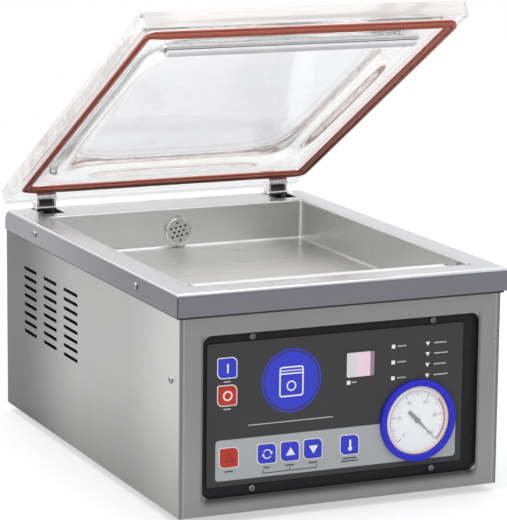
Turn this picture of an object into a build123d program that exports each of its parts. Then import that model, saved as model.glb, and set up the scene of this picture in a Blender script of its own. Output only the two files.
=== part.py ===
from build123d import *
import os
from math import sin, cos, radians, pi

# Table-top chamber vacuum packing machine, in mm, with its lid standing open at rest.
# +X is right seen from the front, +Y to the back, +Z up. The origin is the centre of
# the body's footprint, on the ground plane under the feet.

os.makedirs("parts", exist_ok=True)

SIDES = (-1, 1)             # left and right, or front and rear

# body
BODY_W, BODY_D = 320.0, 460.0
SIDE_X = BODY_W / 2         # outer face of the side panels
REAR_Y = BODY_D / 2         # outer face of the rear panel
FRONT_Y = -REAR_Y           # outer face of the front panel
FOOT_H = 8.0
BASE_Z = FOOT_H             # underside of the casing
DECK_Z = 213.5              # top face of the deck
SHEET = 1.2                 # panel sheet thickness

# deck cover
DECK_T = 2.0
DECK_X = 165.0              # half width over the skirts
DECK_Y0, DECK_Y1 = -235.8, 223.2    # front and rear skirt faces
SKIRT_H = 21.4
SKIRT_Z = DECK_Z - SKIRT_H  # lower edge of the skirts
DECK_R = 4.0                # bend radius, front and sides
DECK_R_REAR = 14.0          # bend radius at the rear

# panels under the deck
PANEL_TOP = DECK_Z - DECK_T - 0.3
REAR_TOP = SKIRT_Z - 0.4    # top of the rear panel's ledge
TRAY_GAP, TRAY_T, TRAY_H = 1.3, 1.5, 14.0

# ventilation slots
VENT_Z = [FOOT_H + 152.0 - 9.2 * i for i in range(8)]
VENT_H = 3.6
SIDE_VENTS = [(FRONT_Y + y0, FRONT_Y + y1)
              for y0, y1 in ((254.3, 292.9), (312.5, 349.6), (370.0, 406.0))]

# feet and casing screws
FEET = [(side * 114.0, y) for side in SIDES for y in (-170.0, 175.0)]
SIDE_SCREW_Y, SIDE_SCREW_Z = FRONT_Y + 19.5, BASE_Z + 123.3
REAR_SCREWS = [(x, BASE_Z + z) for x in (-150.0, 150.0) for z in (8.0, 80.0, 150.0)]
DECK_SCREWS = [(side, FRONT_Y + y) for side in SIDES for y in (91.5, 360.5)]
DECK_SCREW_Z = FOOT_H + 194.5

# vacuum chamber (inner faces)
TUB_X0, TUB_X1 = -140.3, 137.2
TUB_Y0, TUB_Y1 = -207.4, 155.5
TUB_WALL = 2.0
TUB_MID_X = (TUB_X0 + TUB_X1) / 2
FLOOR_Z = DECK_Z - 39.6
PORT_X, PORT_Z = -1.4, FOOT_H + 182.2       # suction port in the rear wall
PORT_BACK = TUB_Y1 + TUB_WALL               # outer face of the rear wall
HOSE_Y = PORT_BACK + 16

# lid
LID_ANGLE = 30.26           # opening angle at rest
LID_L = 440.4               # front to back
LID_X = 163.8               # half width
LID_T = 16.0                # rim thickness
LID_Y, LID_Z = 229.0, 215.1                 # lower rear edge when open
LID_SHUT_Y, LID_SHUT_Z = 211.0, 215.8       # the same edge when closed
LID_COS, LID_SIN = cos(radians(LID_ANGLE)), sin(radians(LID_ANGLE))

# hinge arms and shaft
ARM_X = 129.0               # arm centres, left and right
ARM_W = 20.5
ARM_T = 2.2
ARM_SLOT_W = 23.5
ARM_SLOT_Y0, ARM_SLOT_Y1 = 173.3, 212.0
SHAFT_R = 5.0
# hinge axis: the point about which the open lid turns down to its closed place
turn_y = LID_SHUT_Y - (LID_Y * LID_COS - LID_Z * LID_SIN)
turn_z = LID_SHUT_Z - (LID_Y * LID_SIN + LID_Z * LID_COS)
turn_det = (1 - LID_COS) ** 2 + LID_SIN ** 2
HINGE_Y = ((1 - LID_COS) * turn_y - LID_SIN * turn_z) / turn_det
HINGE_Z = (LID_SIN * turn_y + (1 - LID_COS) * turn_z) / turn_det


# ---- helpers ----

def box(x0, x1, y0, y1, z0, z1):
    place = Pos((x0 + x1) / 2, (y0 + y1) / 2, (z0 + z1) / 2)
    return place * Box(abs(x1 - x0), abs(y1 - y0), abs(z1 - z0))


def cyl_x(x0, x1, y, z, radius):
    return Pos((x0 + x1) / 2, y, z) * Rot(0, 90, 0) * Cylinder(radius, abs(x1 - x0))


def cyl_y(y0, y1, x, z, radius):
    return Pos(x, (y0 + y1) / 2, z) * Rot(90, 0, 0) * Cylinder(radius, abs(y1 - y0))


def cyl_z(z0, z1, x, y, radius):
    return Pos(x, y, (z0 + z1) / 2) * Cylinder(radius, abs(z1 - z0))


def prism_x(points, x_mid, width):
    # (y, z) outline given a width along X
    face = make_face(Polyline(*[(0, y, z) for y, z in points], close=True))
    return Pos(x_mid - width / 2, 0, 0) * extrude(face, width, dir=(1, 0, 0))


def edges_where(shape, test):
    # edges whose middle point passes the test
    return [edge for edge in shape.edges() if test(edge @ 0.5)]


def edges_at(shape, **levels):
    # edges whose middle point lies at the given X, Y or Z levels
    return edges_where(shape, lambda mid: all(
        abs(getattr(mid, axis) - level) < 0.01 for axis, level in levels.items()))


def edges_along(shape, axis):
    return [edge for edge in shape.edges()
            if abs(getattr(edge.tangent_at(0.5), axis)) > 0.9]


def joined(shapes):
    return sum(shapes[1:], shapes[0])


def group(*shapes):
    return Compound(children=[solid for shape in shapes for solid in shape.solids()])


def save(shape, name):
    shape.label = name
    export_step(shape, os.path.join("parts", name + ".step"))


def save_all(*builders):
    # each piece is named after the function that builds it
    for builder in builders:
        save(builder(), builder.__name__)


# ---- casing ----

def base_plate():
    # shallow tray standing inside the panels
    tray_x, tray_y = SIDE_X - TRAY_GAP, REAR_Y - TRAY_GAP
    tray = box(-tray_x, tray_x, -tray_y, tray_y, BASE_Z, BASE_Z + TRAY_T)
    for side in SIDES:
        tray += box(side * tray_x, side * (tray_x - TRAY_T), -tray_y, tray_y,
                    BASE_Z, BASE_Z + TRAY_H)
    for side in SIDES:
        tray += box(-tray_x, tray_x, side * tray_y, side * (tray_y - TRAY_T),
                    BASE_Z, BASE_Z + TRAY_H)
    for x, z in REAR_SCREWS:
        tray -= cyl_y(REAR_Y - 6, REAR_Y + 1, x, z, 2.2)
    for x, y in FEET:
        tray -= cyl_z(BASE_Z - 1, BASE_Z + 3, x, y, 2.2)
    for i in range(7):
        x = -40 + i * 14
        tray -= box(x - 3, x + 3, -20, 30, BASE_Z - 1, BASE_Z + 3)
    return tray


def side_vent(side, y0, y1, z):
    slot = Pos(0, (y0 + y1) / 2, z) * Rot(0, 90, 0) * extrude(
        SlotOverall(y1 - y0, VENT_H, rotation=90), 400, both=True)
    return slot & box(side * (SIDE_X - SHEET - 1), side * (SIDE_X + 1),
                      y0 - 2, y1 + 2, z - 4, z + 4)


def side_panel(side):
    inner_x = SIDE_X - SHEET
    end_y = REAR_Y - SHEET - 0.15
    panel = box(side * SIDE_X, side * inner_x, -end_y, end_y, BASE_Z, PANEL_TOP)
    # folded front and rear edges, standing inside
    for end in SIDES:
        panel += box(side * inner_x, side * (SIDE_X - 13.0), end * end_y, end * (end_y - SHEET),
                     BASE_Z + 16, PANEL_TOP - 30)
    panel -= joined([side_vent(side, y0, y1, z) for y0, y1 in SIDE_VENTS for z in VENT_Z])
    panel -= cyl_x(side * (inner_x - 1), side * (SIDE_X + 1), SIDE_SCREW_Y, SIDE_SCREW_Z, 2.1)
    for x, z in REAR_SCREWS:
        panel -= cyl_y(REAR_Y - 6, REAR_Y, x, z, 2.2)
    # stepped top corner: the deck ends short of the rear panel
    for y, z in ((208, DECK_Z - 14.5), (DECK_Y1 - 2.4, REAR_TOP - SHEET - 0.15)):
        panel -= box(side * (SIDE_X - 20), side * (SIDE_X + 1), y, REAR_Y + 1, z, DECK_Z + 5)
    return panel


def rear_panel():
    # sheet with a ledge under the deck's rear skirt
    panel = box(-SIDE_X, SIDE_X, REAR_Y - SHEET, REAR_Y, BASE_Z, REAR_TOP)
    panel = panel + box(-SIDE_X, SIDE_X, 224.0, REAR_Y, REAR_TOP - SHEET, REAR_TOP)
    panel = fillet(edges_at(panel, Y=REAR_Y, Z=REAR_TOP), 1.0)
    for z in VENT_Z:
        for x in (-60, 0, 60):
            panel -= Pos(x, REAR_Y, z) * Rot(90, 0, 0) * extrude(
                SlotOverall(38, VENT_H), 4, both=True)
    # power inlet cut-out
    panel -= box(-131, -103.8, REAR_Y - 5, REAR_Y + 5, BASE_Z + 26, BASE_Z + 46)
    for x, z in REAR_SCREWS:
        panel -= cyl_y(REAR_Y - 5, REAR_Y + 5, x, z, 2.1)
    return panel


# control panel window in the front panel
WIN_X0, WIN_X1 = -137.5, 138.0
WIN_Z0, WIN_Z1 = 23.2, 172.2
WIN_R = 8
LIP_D = 4.5                 # depth of the window's folded lip


def front_panel():
    panel = box(-SIDE_X, SIDE_X, FRONT_Y, FRONT_Y + SHEET, BASE_Z, SKIRT_Z + 14)
    place = Pos((WIN_X0 + WIN_X1) / 2, FRONT_Y, (WIN_Z0 + WIN_Z1) / 2) * Rot(90, 0, 0)
    width, height = WIN_X1 - WIN_X0, WIN_Z1 - WIN_Z0
    lip = extrude(RectangleRounded(width + 2 * SHEET, height + 2 * SHEET, WIN_R + SHEET),
                  60, both=True)
    opening = extrude(RectangleRounded(width, height, WIN_R), 60, both=True)
    panel += (place * lip) & box(-SIDE_X, SIDE_X, FRONT_Y, FRONT_Y + LIP_D, BASE_Z, 212)
    panel -= place * opening
    panel = fillet(edges_where(panel, lambda mid: (
        abs(mid.Y - FRONT_Y) < 0.01
        and WIN_X0 - 0.1 < mid.X < WIN_X1 + 0.1
        and WIN_Z0 - 0.1 < mid.Z < WIN_Z1 + 0.1)), 0.8)
    panel = fillet(edges_where(panel, lambda mid: (
        abs(mid.Y - FRONT_Y) < 0.01 and abs(abs(mid.X) - SIDE_X) < 0.01)), 0.8)
    # two small holes near the right edge
    for height_up in (145.5, 138.2):
        panel -= cyl_y(FRONT_Y - 1, FRONT_Y + 3, SIDE_X - 3.9, FOOT_H + height_up, 0.8)
    return panel


def deck_cover():
    # folded sheet with a skirt, an opening for the chamber and two arm slots
    deck = box(-DECK_X, DECK_X, DECK_Y0, DECK_Y1, SKIRT_Z, DECK_Z)
    deck = fillet(edges_at(deck, Y=DECK_Y1, Z=DECK_Z), DECK_R_REAR)
    bends = edges_at(deck, Y=DECK_Y0, Z=DECK_Z)
    bends += edges_where(deck, lambda mid: (
        abs(abs(mid.X) - DECK_X) < 0.01 and mid.Z > SKIRT_Z + 0.5
        and mid.Y > DECK_Y0 + 1 and not abs(mid.Y - DECK_Y1) < 0.01))
    deck = fillet(bends, DECK_R)
    inside = box(-DECK_X + DECK_T, DECK_X - DECK_T, DECK_Y0 + DECK_T, DECK_Y1 - DECK_T,
                 SKIRT_Z - 1, DECK_Z - DECK_T)
    inside = fillet(edges_at(inside, Y=DECK_Y1 - DECK_T, Z=DECK_Z - DECK_T),
                    DECK_R_REAR - DECK_T)
    deck -= inside
    margin = TUB_WALL + 0.1
    deck -= box(TUB_X0 - margin, TUB_X1 + margin, TUB_Y0 - margin, TUB_Y1 + margin,
                DECK_Z - 6, DECK_Z + 1)
    for side in SIDES:
        deck -= box(side * ARM_X - ARM_SLOT_W / 2, side * ARM_X + ARM_SLOT_W / 2,
                    ARM_SLOT_Y0, ARM_SLOT_Y1, DECK_Z - 15, DECK_Z + 1)
    # open seam down each front corner, where the front and side skirts meet
    for side in SIDES:
        deck -= box(side * (DECK_X - 0.85), side * (DECK_X + 1), DECK_Y0 - 1, DECK_Y0 + 0.85,
                    SKIRT_Z - 1, DECK_Z - 3.1)
    for side, y in DECK_SCREWS:
        deck -= cyl_x(side * (DECK_X - 5), side * (DECK_X + 1), y, DECK_SCREW_Z, 2.1)
    return deck


save(side_panel(-1), "left_side_panel")
save(side_panel(1), "right_side_panel")
save_all(base_plate, rear_panel, front_panel, deck_cover)


# ---- vacuum chamber and seal bar ----

BAR_Y = -183.0
BAR_W = 12.0                            # over the tape
BAR_HALF = 128.0
BAR_X0, BAR_X1 = TUB_MID_X - BAR_HALF, TUB_MID_X + BAR_HALF
BAR_TOP = DECK_Z - 4.5                  # top of the tape
BAR_BODY_TOP = BAR_TOP - 0.5
BAR_BASE = BAR_BODY_TOP - 22.0
PIN_R = 4.0
SOCKET_R = 8.0
SOCKET_X = (TUB_MID_X - 90.0, TUB_MID_X + 90.0)


def vacuum_chamber():
    tub = box(TUB_X0 - TUB_WALL, TUB_X1 + TUB_WALL, TUB_Y0 - TUB_WALL, TUB_Y1 + TUB_WALL,
              FLOOR_Z - 3, DECK_Z)
    tub = fillet(edges_along(tub, "Z"), 5.0)
    hollow = box(TUB_X0, TUB_X1, TUB_Y0, TUB_Y1, FLOOR_Z, DECK_Z + 5)
    hollow = fillet(edges_along(hollow, "Z"), 3.0)
    hollow = fillet(edges_at(hollow, Z=FLOOR_Z), 2.5)
    tub -= hollow
    tub = fillet(edges_where(tub, lambda mid: (
        abs(mid.Z - DECK_Z) < 0.01
        and TUB_X0 - 0.5 < mid.X < TUB_X1 + 0.5
        and TUB_Y0 - 0.5 < mid.Y < TUB_Y1 + 0.5)), 1.2)
    tub -= cyl_y(TUB_Y1 - 1, TUB_Y1 + 4, PORT_X, PORT_Z, 10.0)
    for x, radius in [(x, SOCKET_R + 0.05) for x in SOCKET_X] + [(TUB_MID_X, 3.0)]:
        tub -= cyl_z(FLOOR_Z - 5, FLOOR_Z + 1, x, BAR_Y, radius)
    return tub


def suction_port_cover():
    # perforated cap on the inside of the rear wall
    face_y, back_y = TUB_Y1 - 4.2, TUB_Y1 - 0.05
    cover = cyl_y(face_y, back_y, PORT_X, PORT_Z, 14.2)
    cover = fillet(edges_at(cover, Y=face_y), 1.2)
    cover -= cyl_y(TUB_Y1 - 5, TUB_Y1 - 3.2, PORT_X, PORT_Z, 12.6)
    cover -= cyl_y(TUB_Y1 - 2.0, TUB_Y1 + 1, PORT_X, PORT_Z, 11.8)
    holes = [(0.0, 0.0)]
    for ring_r, start in ((5.1, 11), (9.0, 41)):
        angles = [radians(start + 60 * k) for k in range(6)]
        holes += [(ring_r * cos(angle), ring_r * sin(angle)) for angle in angles]
    for x, z in holes:
        cover -= cyl_y(TUB_Y1 - 6, TUB_Y1, PORT_X + x, PORT_Z + z, 1.25)
    cover += cyl_y(TUB_Y1 - 4.6, back_y, PORT_X, PORT_Z + 14.4, 2.0)
    return cover


def suction_elbow():
    # behind the rear wall: flange, body, hose barb pointing down
    elbow = cyl_y(PORT_BACK + 0.05, PORT_BACK + 3, PORT_X, PORT_Z, 16.0)
    elbow += box(PORT_X - 11, PORT_X + 11, PORT_BACK + 3, PORT_BACK + 27,
                 PORT_Z - 11, PORT_Z + 11)
    elbow += cyl_z(PORT_Z - 34, PORT_Z - 10, PORT_X, HOSE_Y, 10.0)
    elbow -= cyl_y(PORT_BACK - 1, HOSE_Y, PORT_X, PORT_Z, 6.0)
    elbow -= cyl_z(PORT_Z - 35, PORT_Z, PORT_X, HOSE_Y, 6.0)
    return elbow


def seal_bar():
    # grooved bar that rises on two pins
    half_w = BAR_W / 2
    bar = box(BAR_X0, BAR_X1, BAR_Y - half_w + 0.4, BAR_Y + half_w - 0.4,
              BAR_BASE, BAR_BODY_TOP)
    for side in SIDES:
        bar -= box(BAR_X0 - 1, BAR_X1 + 1, BAR_Y + side * (half_w + 1),
                   BAR_Y + side * (half_w - 2), BAR_BASE + 8, BAR_BASE + 12)
    for x in SOCKET_X:
        bar += cyl_z(FLOOR_Z - 16, BAR_BASE + 0.5, x, BAR_Y, PIN_R)
    return bar


def heating_wire():
    return box(BAR_X0, BAR_X1, BAR_Y - 1.5, BAR_Y + 1.5, BAR_BODY_TOP, BAR_TOP - 0.3)


def seal_tape():
    half_w, tape_t = BAR_W / 2, 0.3
    tape = box(BAR_X0 + 1, BAR_X1 - 1, BAR_Y - half_w, BAR_Y + half_w, BAR_TOP - 7, BAR_TOP)
    tape -= box(BAR_X0, BAR_X1, BAR_Y - half_w + tape_t, BAR_Y + half_w - tape_t,
                BAR_TOP - 8, BAR_TOP - tape_t)
    return tape


def seal_bar_terminals():
    terminals = []
    for end in SIDES:
        x0 = TUB_MID_X + end * (BAR_HALF + 0.1)
        x1 = x0 + end * 7.0
        block = box(x0, x1, BAR_Y - 5, BAR_Y + 5, BAR_TOP - 15, BAR_TOP + 0.3)
        block -= box(x0 - end, x1 + end, BAR_Y - 1.8, BAR_Y + 1.8, BAR_TOP - 2.2, BAR_TOP + 1)
        block += cyl_x(x0, x1, BAR_Y, BAR_TOP - 8, 2.4) & box(
            x0, x1, BAR_Y - 5, BAR_Y + 5, BAR_TOP - 15, BAR_TOP)
        for side in SIDES:
            block += cyl_y(BAR_Y + side * 7.5, BAR_Y + side * 4.5, (x0 + x1) / 2,
                           BAR_TOP - 5, 2.6)
        terminals.append(block)
    return group(*terminals)


def seal_bar_sockets():
    sockets = []
    for x in SOCKET_X:
        socket = cyl_z(FLOOR_Z + 0.02, FLOOR_Z + 2.5, x, BAR_Y, 11.0)
        socket = socket + cyl_z(FLOOR_Z - 14, FLOOR_Z + 1, x, BAR_Y, SOCKET_R)
        socket -= cyl_z(FLOOR_Z - 15, FLOOR_Z + 3, x, BAR_Y, PIN_R + 0.05)
        sockets.append(socket)
    return group(*sockets)


def lift_bladder():
    # air bladder that pushes the seal bar up
    bladder = box(TUB_MID_X - 74, TUB_MID_X + 74, BAR_Y - 7, BAR_Y + 7,
                  FLOOR_Z + 0.1, BAR_BASE - 0.3)
    bladder = fillet(edges_along(bladder, "X"), 4.0)
    bladder += cyl_z(FLOOR_Z - 12, FLOOR_Z + 1, TUB_MID_X, BAR_Y, 2.9)
    return bladder


save_all(vacuum_chamber, suction_port_cover, suction_elbow, seal_bar, heating_wire,
         seal_tape, seal_bar_terminals, seal_bar_sockets, lift_bladder)


# ---- lid and everything that turns with it ----
# In the lid's own frame a length runs from the rear edge to the front (along -Y)
# and z is up from the underside.

LID_FRAME = Plane(origin=(0, LID_Y, LID_Z), x_dir=(1, 0, 0), z_dir=(0, LID_SIN, LID_COS))
DOME_X, DOME_L0, DOME_L1 = 133.0, 60.0, 382.0   # outline of the hollow on the underside
DOME_MID, DOME_L = (DOME_L0 + DOME_L1) / 2, DOME_L1 - DOME_L0
DOME_H = 12.0                       # depth of the hollow
DOME_RAISE = 7.0                    # raised crown on top

GASKET_W, GASKET_H = 9.0, 2.25      # width, height below the lid
GASKET_X = LID_X - 11.3             # gasket centre line
GASKET_L0, GASKET_L1 = 45.2, LID_L - 13.3
GASKET_R = 7.5                      # corner radius of the centre line

COUNTER_X = 130.0                   # half length of the counter bar
COUNTER_L0, COUNTER_L1 = 388.0, 400.0

# screws in the underside: (x, length from the rear edge)
ARM_SCREWS = [(side * ARM_X, length) for side in SIDES for length in (15.0, 29.0)]
COUNTER_SCREWS = [(x, (COUNTER_L0 + COUNTER_L1) / 2) for x in (-105.0, 0.0, 105.0)]


def lid_box(x0, x1, length0, length1, z0, z1):
    return box(x0, x1, -length1, -length0, z0, z1)


def on_lid(shape):
    return LID_FRAME.location * shape


def dome_block(grow_x, grow_l, corner_r, height, taper):
    outline = RectangleRounded(2 * DOME_X + grow_x, DOME_L + grow_l, corner_r)
    return extrude(Pos(0, -DOME_MID) * outline, height, taper=taper)


def gasket_band(width, height):
    # closed band centred on the gasket's line
    across, along = 2 * GASKET_X, GASKET_L1 - GASKET_L0
    outer = RectangleRounded(across + width, along + width, GASKET_R + width / 2)
    inner = RectangleRounded(across - width, along - width, GASKET_R - width / 2)
    return extrude(Pos(0, -(GASKET_L0 + GASKET_L1) / 2) * (outer - inner), height)


def lid_window():
    lid = lid_box(-LID_X, LID_X, 0, LID_L, 0, LID_T)
    lid = fillet(edges_along(lid, "Z"), 5.0)
    lid += Pos(0, 0, LID_T - 0.001) * dome_block(12, 20, 36, DOME_RAISE, 45)
    # upper and lower edges of the rim
    lid = chamfer(edges_where(lid, lambda mid: (
        (abs(mid.Z) < 0.01 or abs(mid.Z - LID_T) < 0.01)
        and (abs(abs(mid.X) - LID_X) < 6 or mid.Y > -6 or mid.Y < -LID_L + 6))), 0.8)
    lid -= Pos(0, 0, -0.001) * dome_block(0, 0, 34, DOME_H, 38)
    lid -= Pos(0, 0, -0.001) * gasket_band(GASKET_W - 2, 4.0)
    for x, length in ARM_SCREWS + COUNTER_SCREWS:
        lid -= Pos(x, -length, 4) * Cylinder(2.0, 9)
    return on_lid(lid)


def lid_gasket():
    # silicone frame: root in the groove, grooved lip below the lid
    gasket = Pos(0, 0, -0.2) * gasket_band(GASKET_W - 2.2, 4.0)
    gasket = gasket + Pos(0, 0, -0.02) * gasket_band(GASKET_W, -GASKET_H)
    gasket -= Pos(0, 0, -GASKET_H - 0.02) * gasket_band(1.2, 0.9)
    return on_lid(gasket)


def counter_bar_holder():
    # channel under the front of the lid
    holder = lid_box(-COUNTER_X, COUNTER_X, COUNTER_L0, COUNTER_L1, -2.6, -0.05)
    holder = fillet(edges_along(holder, "Z"), 3.0)
    holder -= lid_box(-COUNTER_X + 3, COUNTER_X - 3, COUNTER_L0 + 2.5, COUNTER_L1 - 2.5,
                      -3, -1.3)
    for x, length in COUNTER_SCREWS:
        holder -= Pos(x, -length, -1) * Cylinder(2.1, 5)
    return on_lid(holder)


def counter_bar_strip():
    # silicone strip in the holder, hollowed over the screw heads
    strip = lid_box(-COUNTER_X + 3.2, COUNTER_X - 3.2, COUNTER_L0 + 2.7, COUNTER_L1 - 2.7,
                    -3.9, -1.35)
    strip = fillet([edge for edge in edges_along(strip, "X") if (edge @ 0.5).Z < -3], 1.0)
    for x, length in COUNTER_SCREWS:
        strip -= Pos(x, -length, -2.2) * Cylinder(3.4, 2.2)
    return on_lid(strip)


def lid_screws():
    screws = []
    # seat: level of the head's bearing face under the lid
    for places, seat in ((ARM_SCREWS, -2.1), (COUNTER_SCREWS, -1.35)):
        for x, length in places:
            shank = Pos(x, -length, seat + 4.4) * Cylinder(1.9, 9.0)
            head = Pos(x, -length, seat - 0.9) * Cylinder(3.0, 1.8)
            screws.append(on_lid(shank + head))
    return group(*screws)


def under_lid(y, gap):
    # (y, z) point at a vertical gap below the open lid
    return y, LID_Z + (LID_Y - y) * LID_SIN / LID_COS - gap


# side outlines of a hinge arm and of the channel between its cheeks: (y, z)
ARM_OUTLINE = [
    under_lid(220.0, 0.06), under_lid(197.6, 0.06),
    (195.2, DECK_Z + 15.5), (195.2, DECK_Z + 0.6), (199.5, DECK_Z - 8.0),
    (209.2, HINGE_Z + 1.0), (209.2, HINGE_Z - 7.5), (225.0, HINGE_Z - 7.5),
    (226.4, HINGE_Z + 1.0), (224.0, HINGE_Z + 5.0), (218.2, DECK_Z - 21.5),
    (207.6, DECK_Z - 6.0), (207.6, DECK_Z + 3.2),
]
ARM_CHANNEL = [
    under_lid(224.0, 2.1), under_lid(199.4, 2.1),
    (197.0, DECK_Z + 15.0), (197.0, DECK_Z - 1.5), (200.5, DECK_Z - 10),
    (203.0, HINGE_Z - 12), (232.0, HINGE_Z - 12), (232.0, DECK_Z - 5),
]


def hinge_arm(side):
    # folded bracket: flange under the lid, cheeks going down through the deck slot
    mid_x, half_w = side * ARM_X, ARM_W / 2
    half_in = half_w - ARM_T
    arm = prism_x(ARM_OUTLINE, mid_x, ARM_W)
    arm -= prism_x(ARM_CHANNEL, mid_x, ARM_W - 2 * ARM_T)
    # front wall removed below the deck, window between the rolls
    arm -= box(mid_x - half_in, mid_x + half_in, 190, 206, HINGE_Z - 12, DECK_Z + 0.2)
    arm -= box(mid_x - half_in, mid_x + half_in, 190, 199, DECK_Z + 3.9, DECK_Z + 10.2)
    # upper and lower roll
    arm += cyl_x(mid_x - half_w, mid_x + half_w, 195.6, DECK_Z + 12.4, 2.2)
    arm += cyl_x(mid_x - half_w, mid_x + half_w, 195.8, DECK_Z + 2.2, 1.7)
    # hub bosses and bore
    for cheek in SIDES:
        arm += cyl_x(mid_x + cheek * half_w, mid_x + cheek * (half_w - 4),
                     HINGE_Y, HINGE_Z, 8.0)
    arm -= cyl_x(mid_x - ARM_W, mid_x + ARM_W, HINGE_Y, HINGE_Z, SHAFT_R + 0.02)
    arm -= joined([on_lid(Pos(x, -length, 0) * Cylinder(2.2, 12))
                   for x, length in ARM_SCREWS if x == mid_x])
    return arm


def hinge_shaft():
    return cyl_x(-156.5, 156.5, HINGE_Y, HINGE_Z, SHAFT_R)


def hinge_bearings():
    bearings = []
    for side in SIDES:
        bearing = box(side * 147.0, side * 158.5, HINGE_Y - 8, HINGE_Y + 8,
                      HINGE_Z - 8, HINGE_Z + 8)
        bearing += box(side * 157.0, side * 158.5, HINGE_Y - 22, HINGE_Y + 8,
                       HINGE_Z - 40, HINGE_Z + 8)
        bearing -= cyl_x(side * 146.0, side * 159.5, HINGE_Y, HINGE_Z, SHAFT_R + 0.05)
        bearings.append(bearing)
    return group(*bearings)


def lid_lift_springs():
    # torsion coils on the shaft, with a leg up at the front and a short one at the back
    coil_r, wire_r, pitch = 7.4, 1.1, 2.7
    turns, steps = 6, 16        # whole turns (half a turn is added), points per turn
    springs = []
    for side in SIDES:
        x0 = side * (ARM_X - ARM_W / 2 - 3.0)
        points = [(x0, HINGE_Y - coil_r, HINGE_Z + rise) for rise in (20.0, 10.0)]
        for i in range(turns * steps + steps // 2 + 1):
            angle = pi + 2 * pi * i / steps
            points.append((x0 - side * pitch * i / steps,
                           HINGE_Y + coil_r * cos(angle), HINGE_Z + coil_r * sin(angle)))
        x1 = x0 - side * pitch * (turns + 0.5)
        points += [(x1, HINGE_Y + coil_r, HINGE_Z + rise) for rise in (3.0, 6.0)]
        path = Spline(*points)
        wire = Plane(origin=path @ 0, z_dir=path % 0) * Circle(wire_r)
        springs.append(sweep(wire, path=path))
    return group(*springs)


# lid switch under the deck: the right arm's inner cheek pushes its plunger
SWITCH_X, SWITCH_Z = ARM_X - ARM_W / 2 + ARM_T / 2, DECK_Z - 20.5
PLUNGER_TIP = 188.6
PLUNGER_R = 2.5


def lid_switch():
    switch = box(SWITCH_X - 10, SWITCH_X + 10, 160.5, 176.0, SWITCH_Z - 8, SWITCH_Z + 8)
    switch += box(SWITCH_X - 14, SWITCH_X + 14, 159.0, 160.5,
                  SWITCH_Z - 14, DECK_Z - DECK_T - 0.2)
    switch -= cyl_y(163.5, 177.0, SWITCH_X, SWITCH_Z, PLUNGER_R + 0.05)
    return switch


def lid_switch_plunger():
    plunger = cyl_y(168.0, PLUNGER_TIP, SWITCH_X, SWITCH_Z, PLUNGER_R)
    return fillet(edges_at(plunger, Y=PLUNGER_TIP), 1.0)


save(hinge_arm(-1), "left_hinge_arm")
save(hinge_arm(1), "right_hinge_arm")
save_all(lid_window, lid_gasket, counter_bar_holder, counter_bar_strip, lid_screws,
         hinge_shaft, hinge_bearings, lid_lift_springs, lid_switch, lid_switch_plunger)


# ---- control panel ----

PLATE_Y = FRONT_Y + LIP_D + 0.1     # front face of the backing plate
PLATE_T = 2.0
PLATE_BACK = PLATE_Y + PLATE_T
LABEL_X, LABEL_Z = -4.5, 98.5
LABEL_W, LABEL_H, LABEL_T = 256.0, 131.0, 1.5
LABEL_Y = PLATE_Y - LABEL_T         # front face of the label plate
BOARD_Y = PLATE_BACK + 6.0          # front face of the circuit board
KEY_SIZE, KEY_GAP = 17.0, 0.25
KEY_FRONT, KEY_BACK = LABEL_Y - 1.3, PLATE_BACK + 0.4
DISPLAY_X, DISPLAY_Z = LABEL_X + 23.2, LABEL_Z + 34.8
DISPLAY_W, DISPLAY_H = 28.0, 23.0
GAUGE_X, GAUGE_Z = LABEL_X + 82.3, LABEL_Z - 23.1
GAUGE_BACK = BOARD_Y + 22

# name, x and z from the label's centre
KEYS = {name: (LABEL_X + x, LABEL_Z + z) for name, x, z in (
    ("key_on", -108.5, 42.8),
    ("key_off", -108.4, 17.7),
    ("key_stop", -106.2, -39.5),
    ("key_set", -69.2, -39.5),
    ("key_up", -46.2, -39.5),
    ("key_down", -23.4, -39.5),
    ("key_temperature", 13.5, -39.5),
)}
# indicators: x and z from the label's centre
SQUARE_LAMPS = ((11.4, 18.6), (56.3, 48.3), (56.3, 33.5), (56.3, 18.7))
TRIANGLE_LAMPS = ((91.5, 48.4), (91.5, 38.6), (91.5, 28.5), (91.5, 18.4))
# x from the left side face, z from the casing's underside
BEZEL_SCREWS = [(x - SIDE_X, BASE_Z + z)
                for x, z in ((71.5, 160.0), (252.3, 160.0), (72.3, 20.0), (253.5, 20.0))]


def on_front(x, z, y):
    # sketch place facing the user: local x to the right, y up, z towards -Y
    return Pos(x, y, z) * Rot(90, 0, 0)


def key_shape(size, large_r, small_r):
    # square with large radii at upper right and lower left, small at the others
    sketch = Rectangle(size, size)
    sketch = fillet([v for v in sketch.vertices() if (v.X > 0) == (v.Y > 0)], large_r)
    sharp = [v for v in sketch.vertices()
             if abs(abs(v.X) - size / 2) < 0.01 and abs(abs(v.Y) - size / 2) < 0.01]
    return fillet(sharp, small_r)


def lamp_shapes(grow=0.0):
    # (x, z, sketch) of each indicator
    side, reach = 3.6 + grow, 2.5 + grow
    lamps = [(x, z, Rectangle(side, side)) for x, z in SQUARE_LAMPS]
    for x, z in TRIANGLE_LAMPS:
        corners = Polyline((-reach * 0.9, reach * 0.62), (reach * 0.9, reach * 0.62),
                           (0, -reach * 0.95), close=True)
        lamps.append((x, z, make_face(corners)))
    return [(LABEL_X + x, LABEL_Z + z, sketch) for x, z, sketch in lamps]


def cut_keys_and_display(panel):
    for x, z in KEYS.values():
        panel -= on_front(x, z, PLATE_Y) * extrude(
            key_shape(KEY_SIZE + 2 * KEY_GAP, 4.6, 1.4), 8, both=True)
    return panel - on_front(DISPLAY_X, DISPLAY_Z, PLATE_Y) * extrude(
        RectangleRounded(DISPLAY_W, DISPLAY_H, 1.5), 8, both=True)


def gauge_disc(y0, y1, radius):
    return cyl_y(y0, y1, GAUGE_X, GAUGE_Z, radius)


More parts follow.
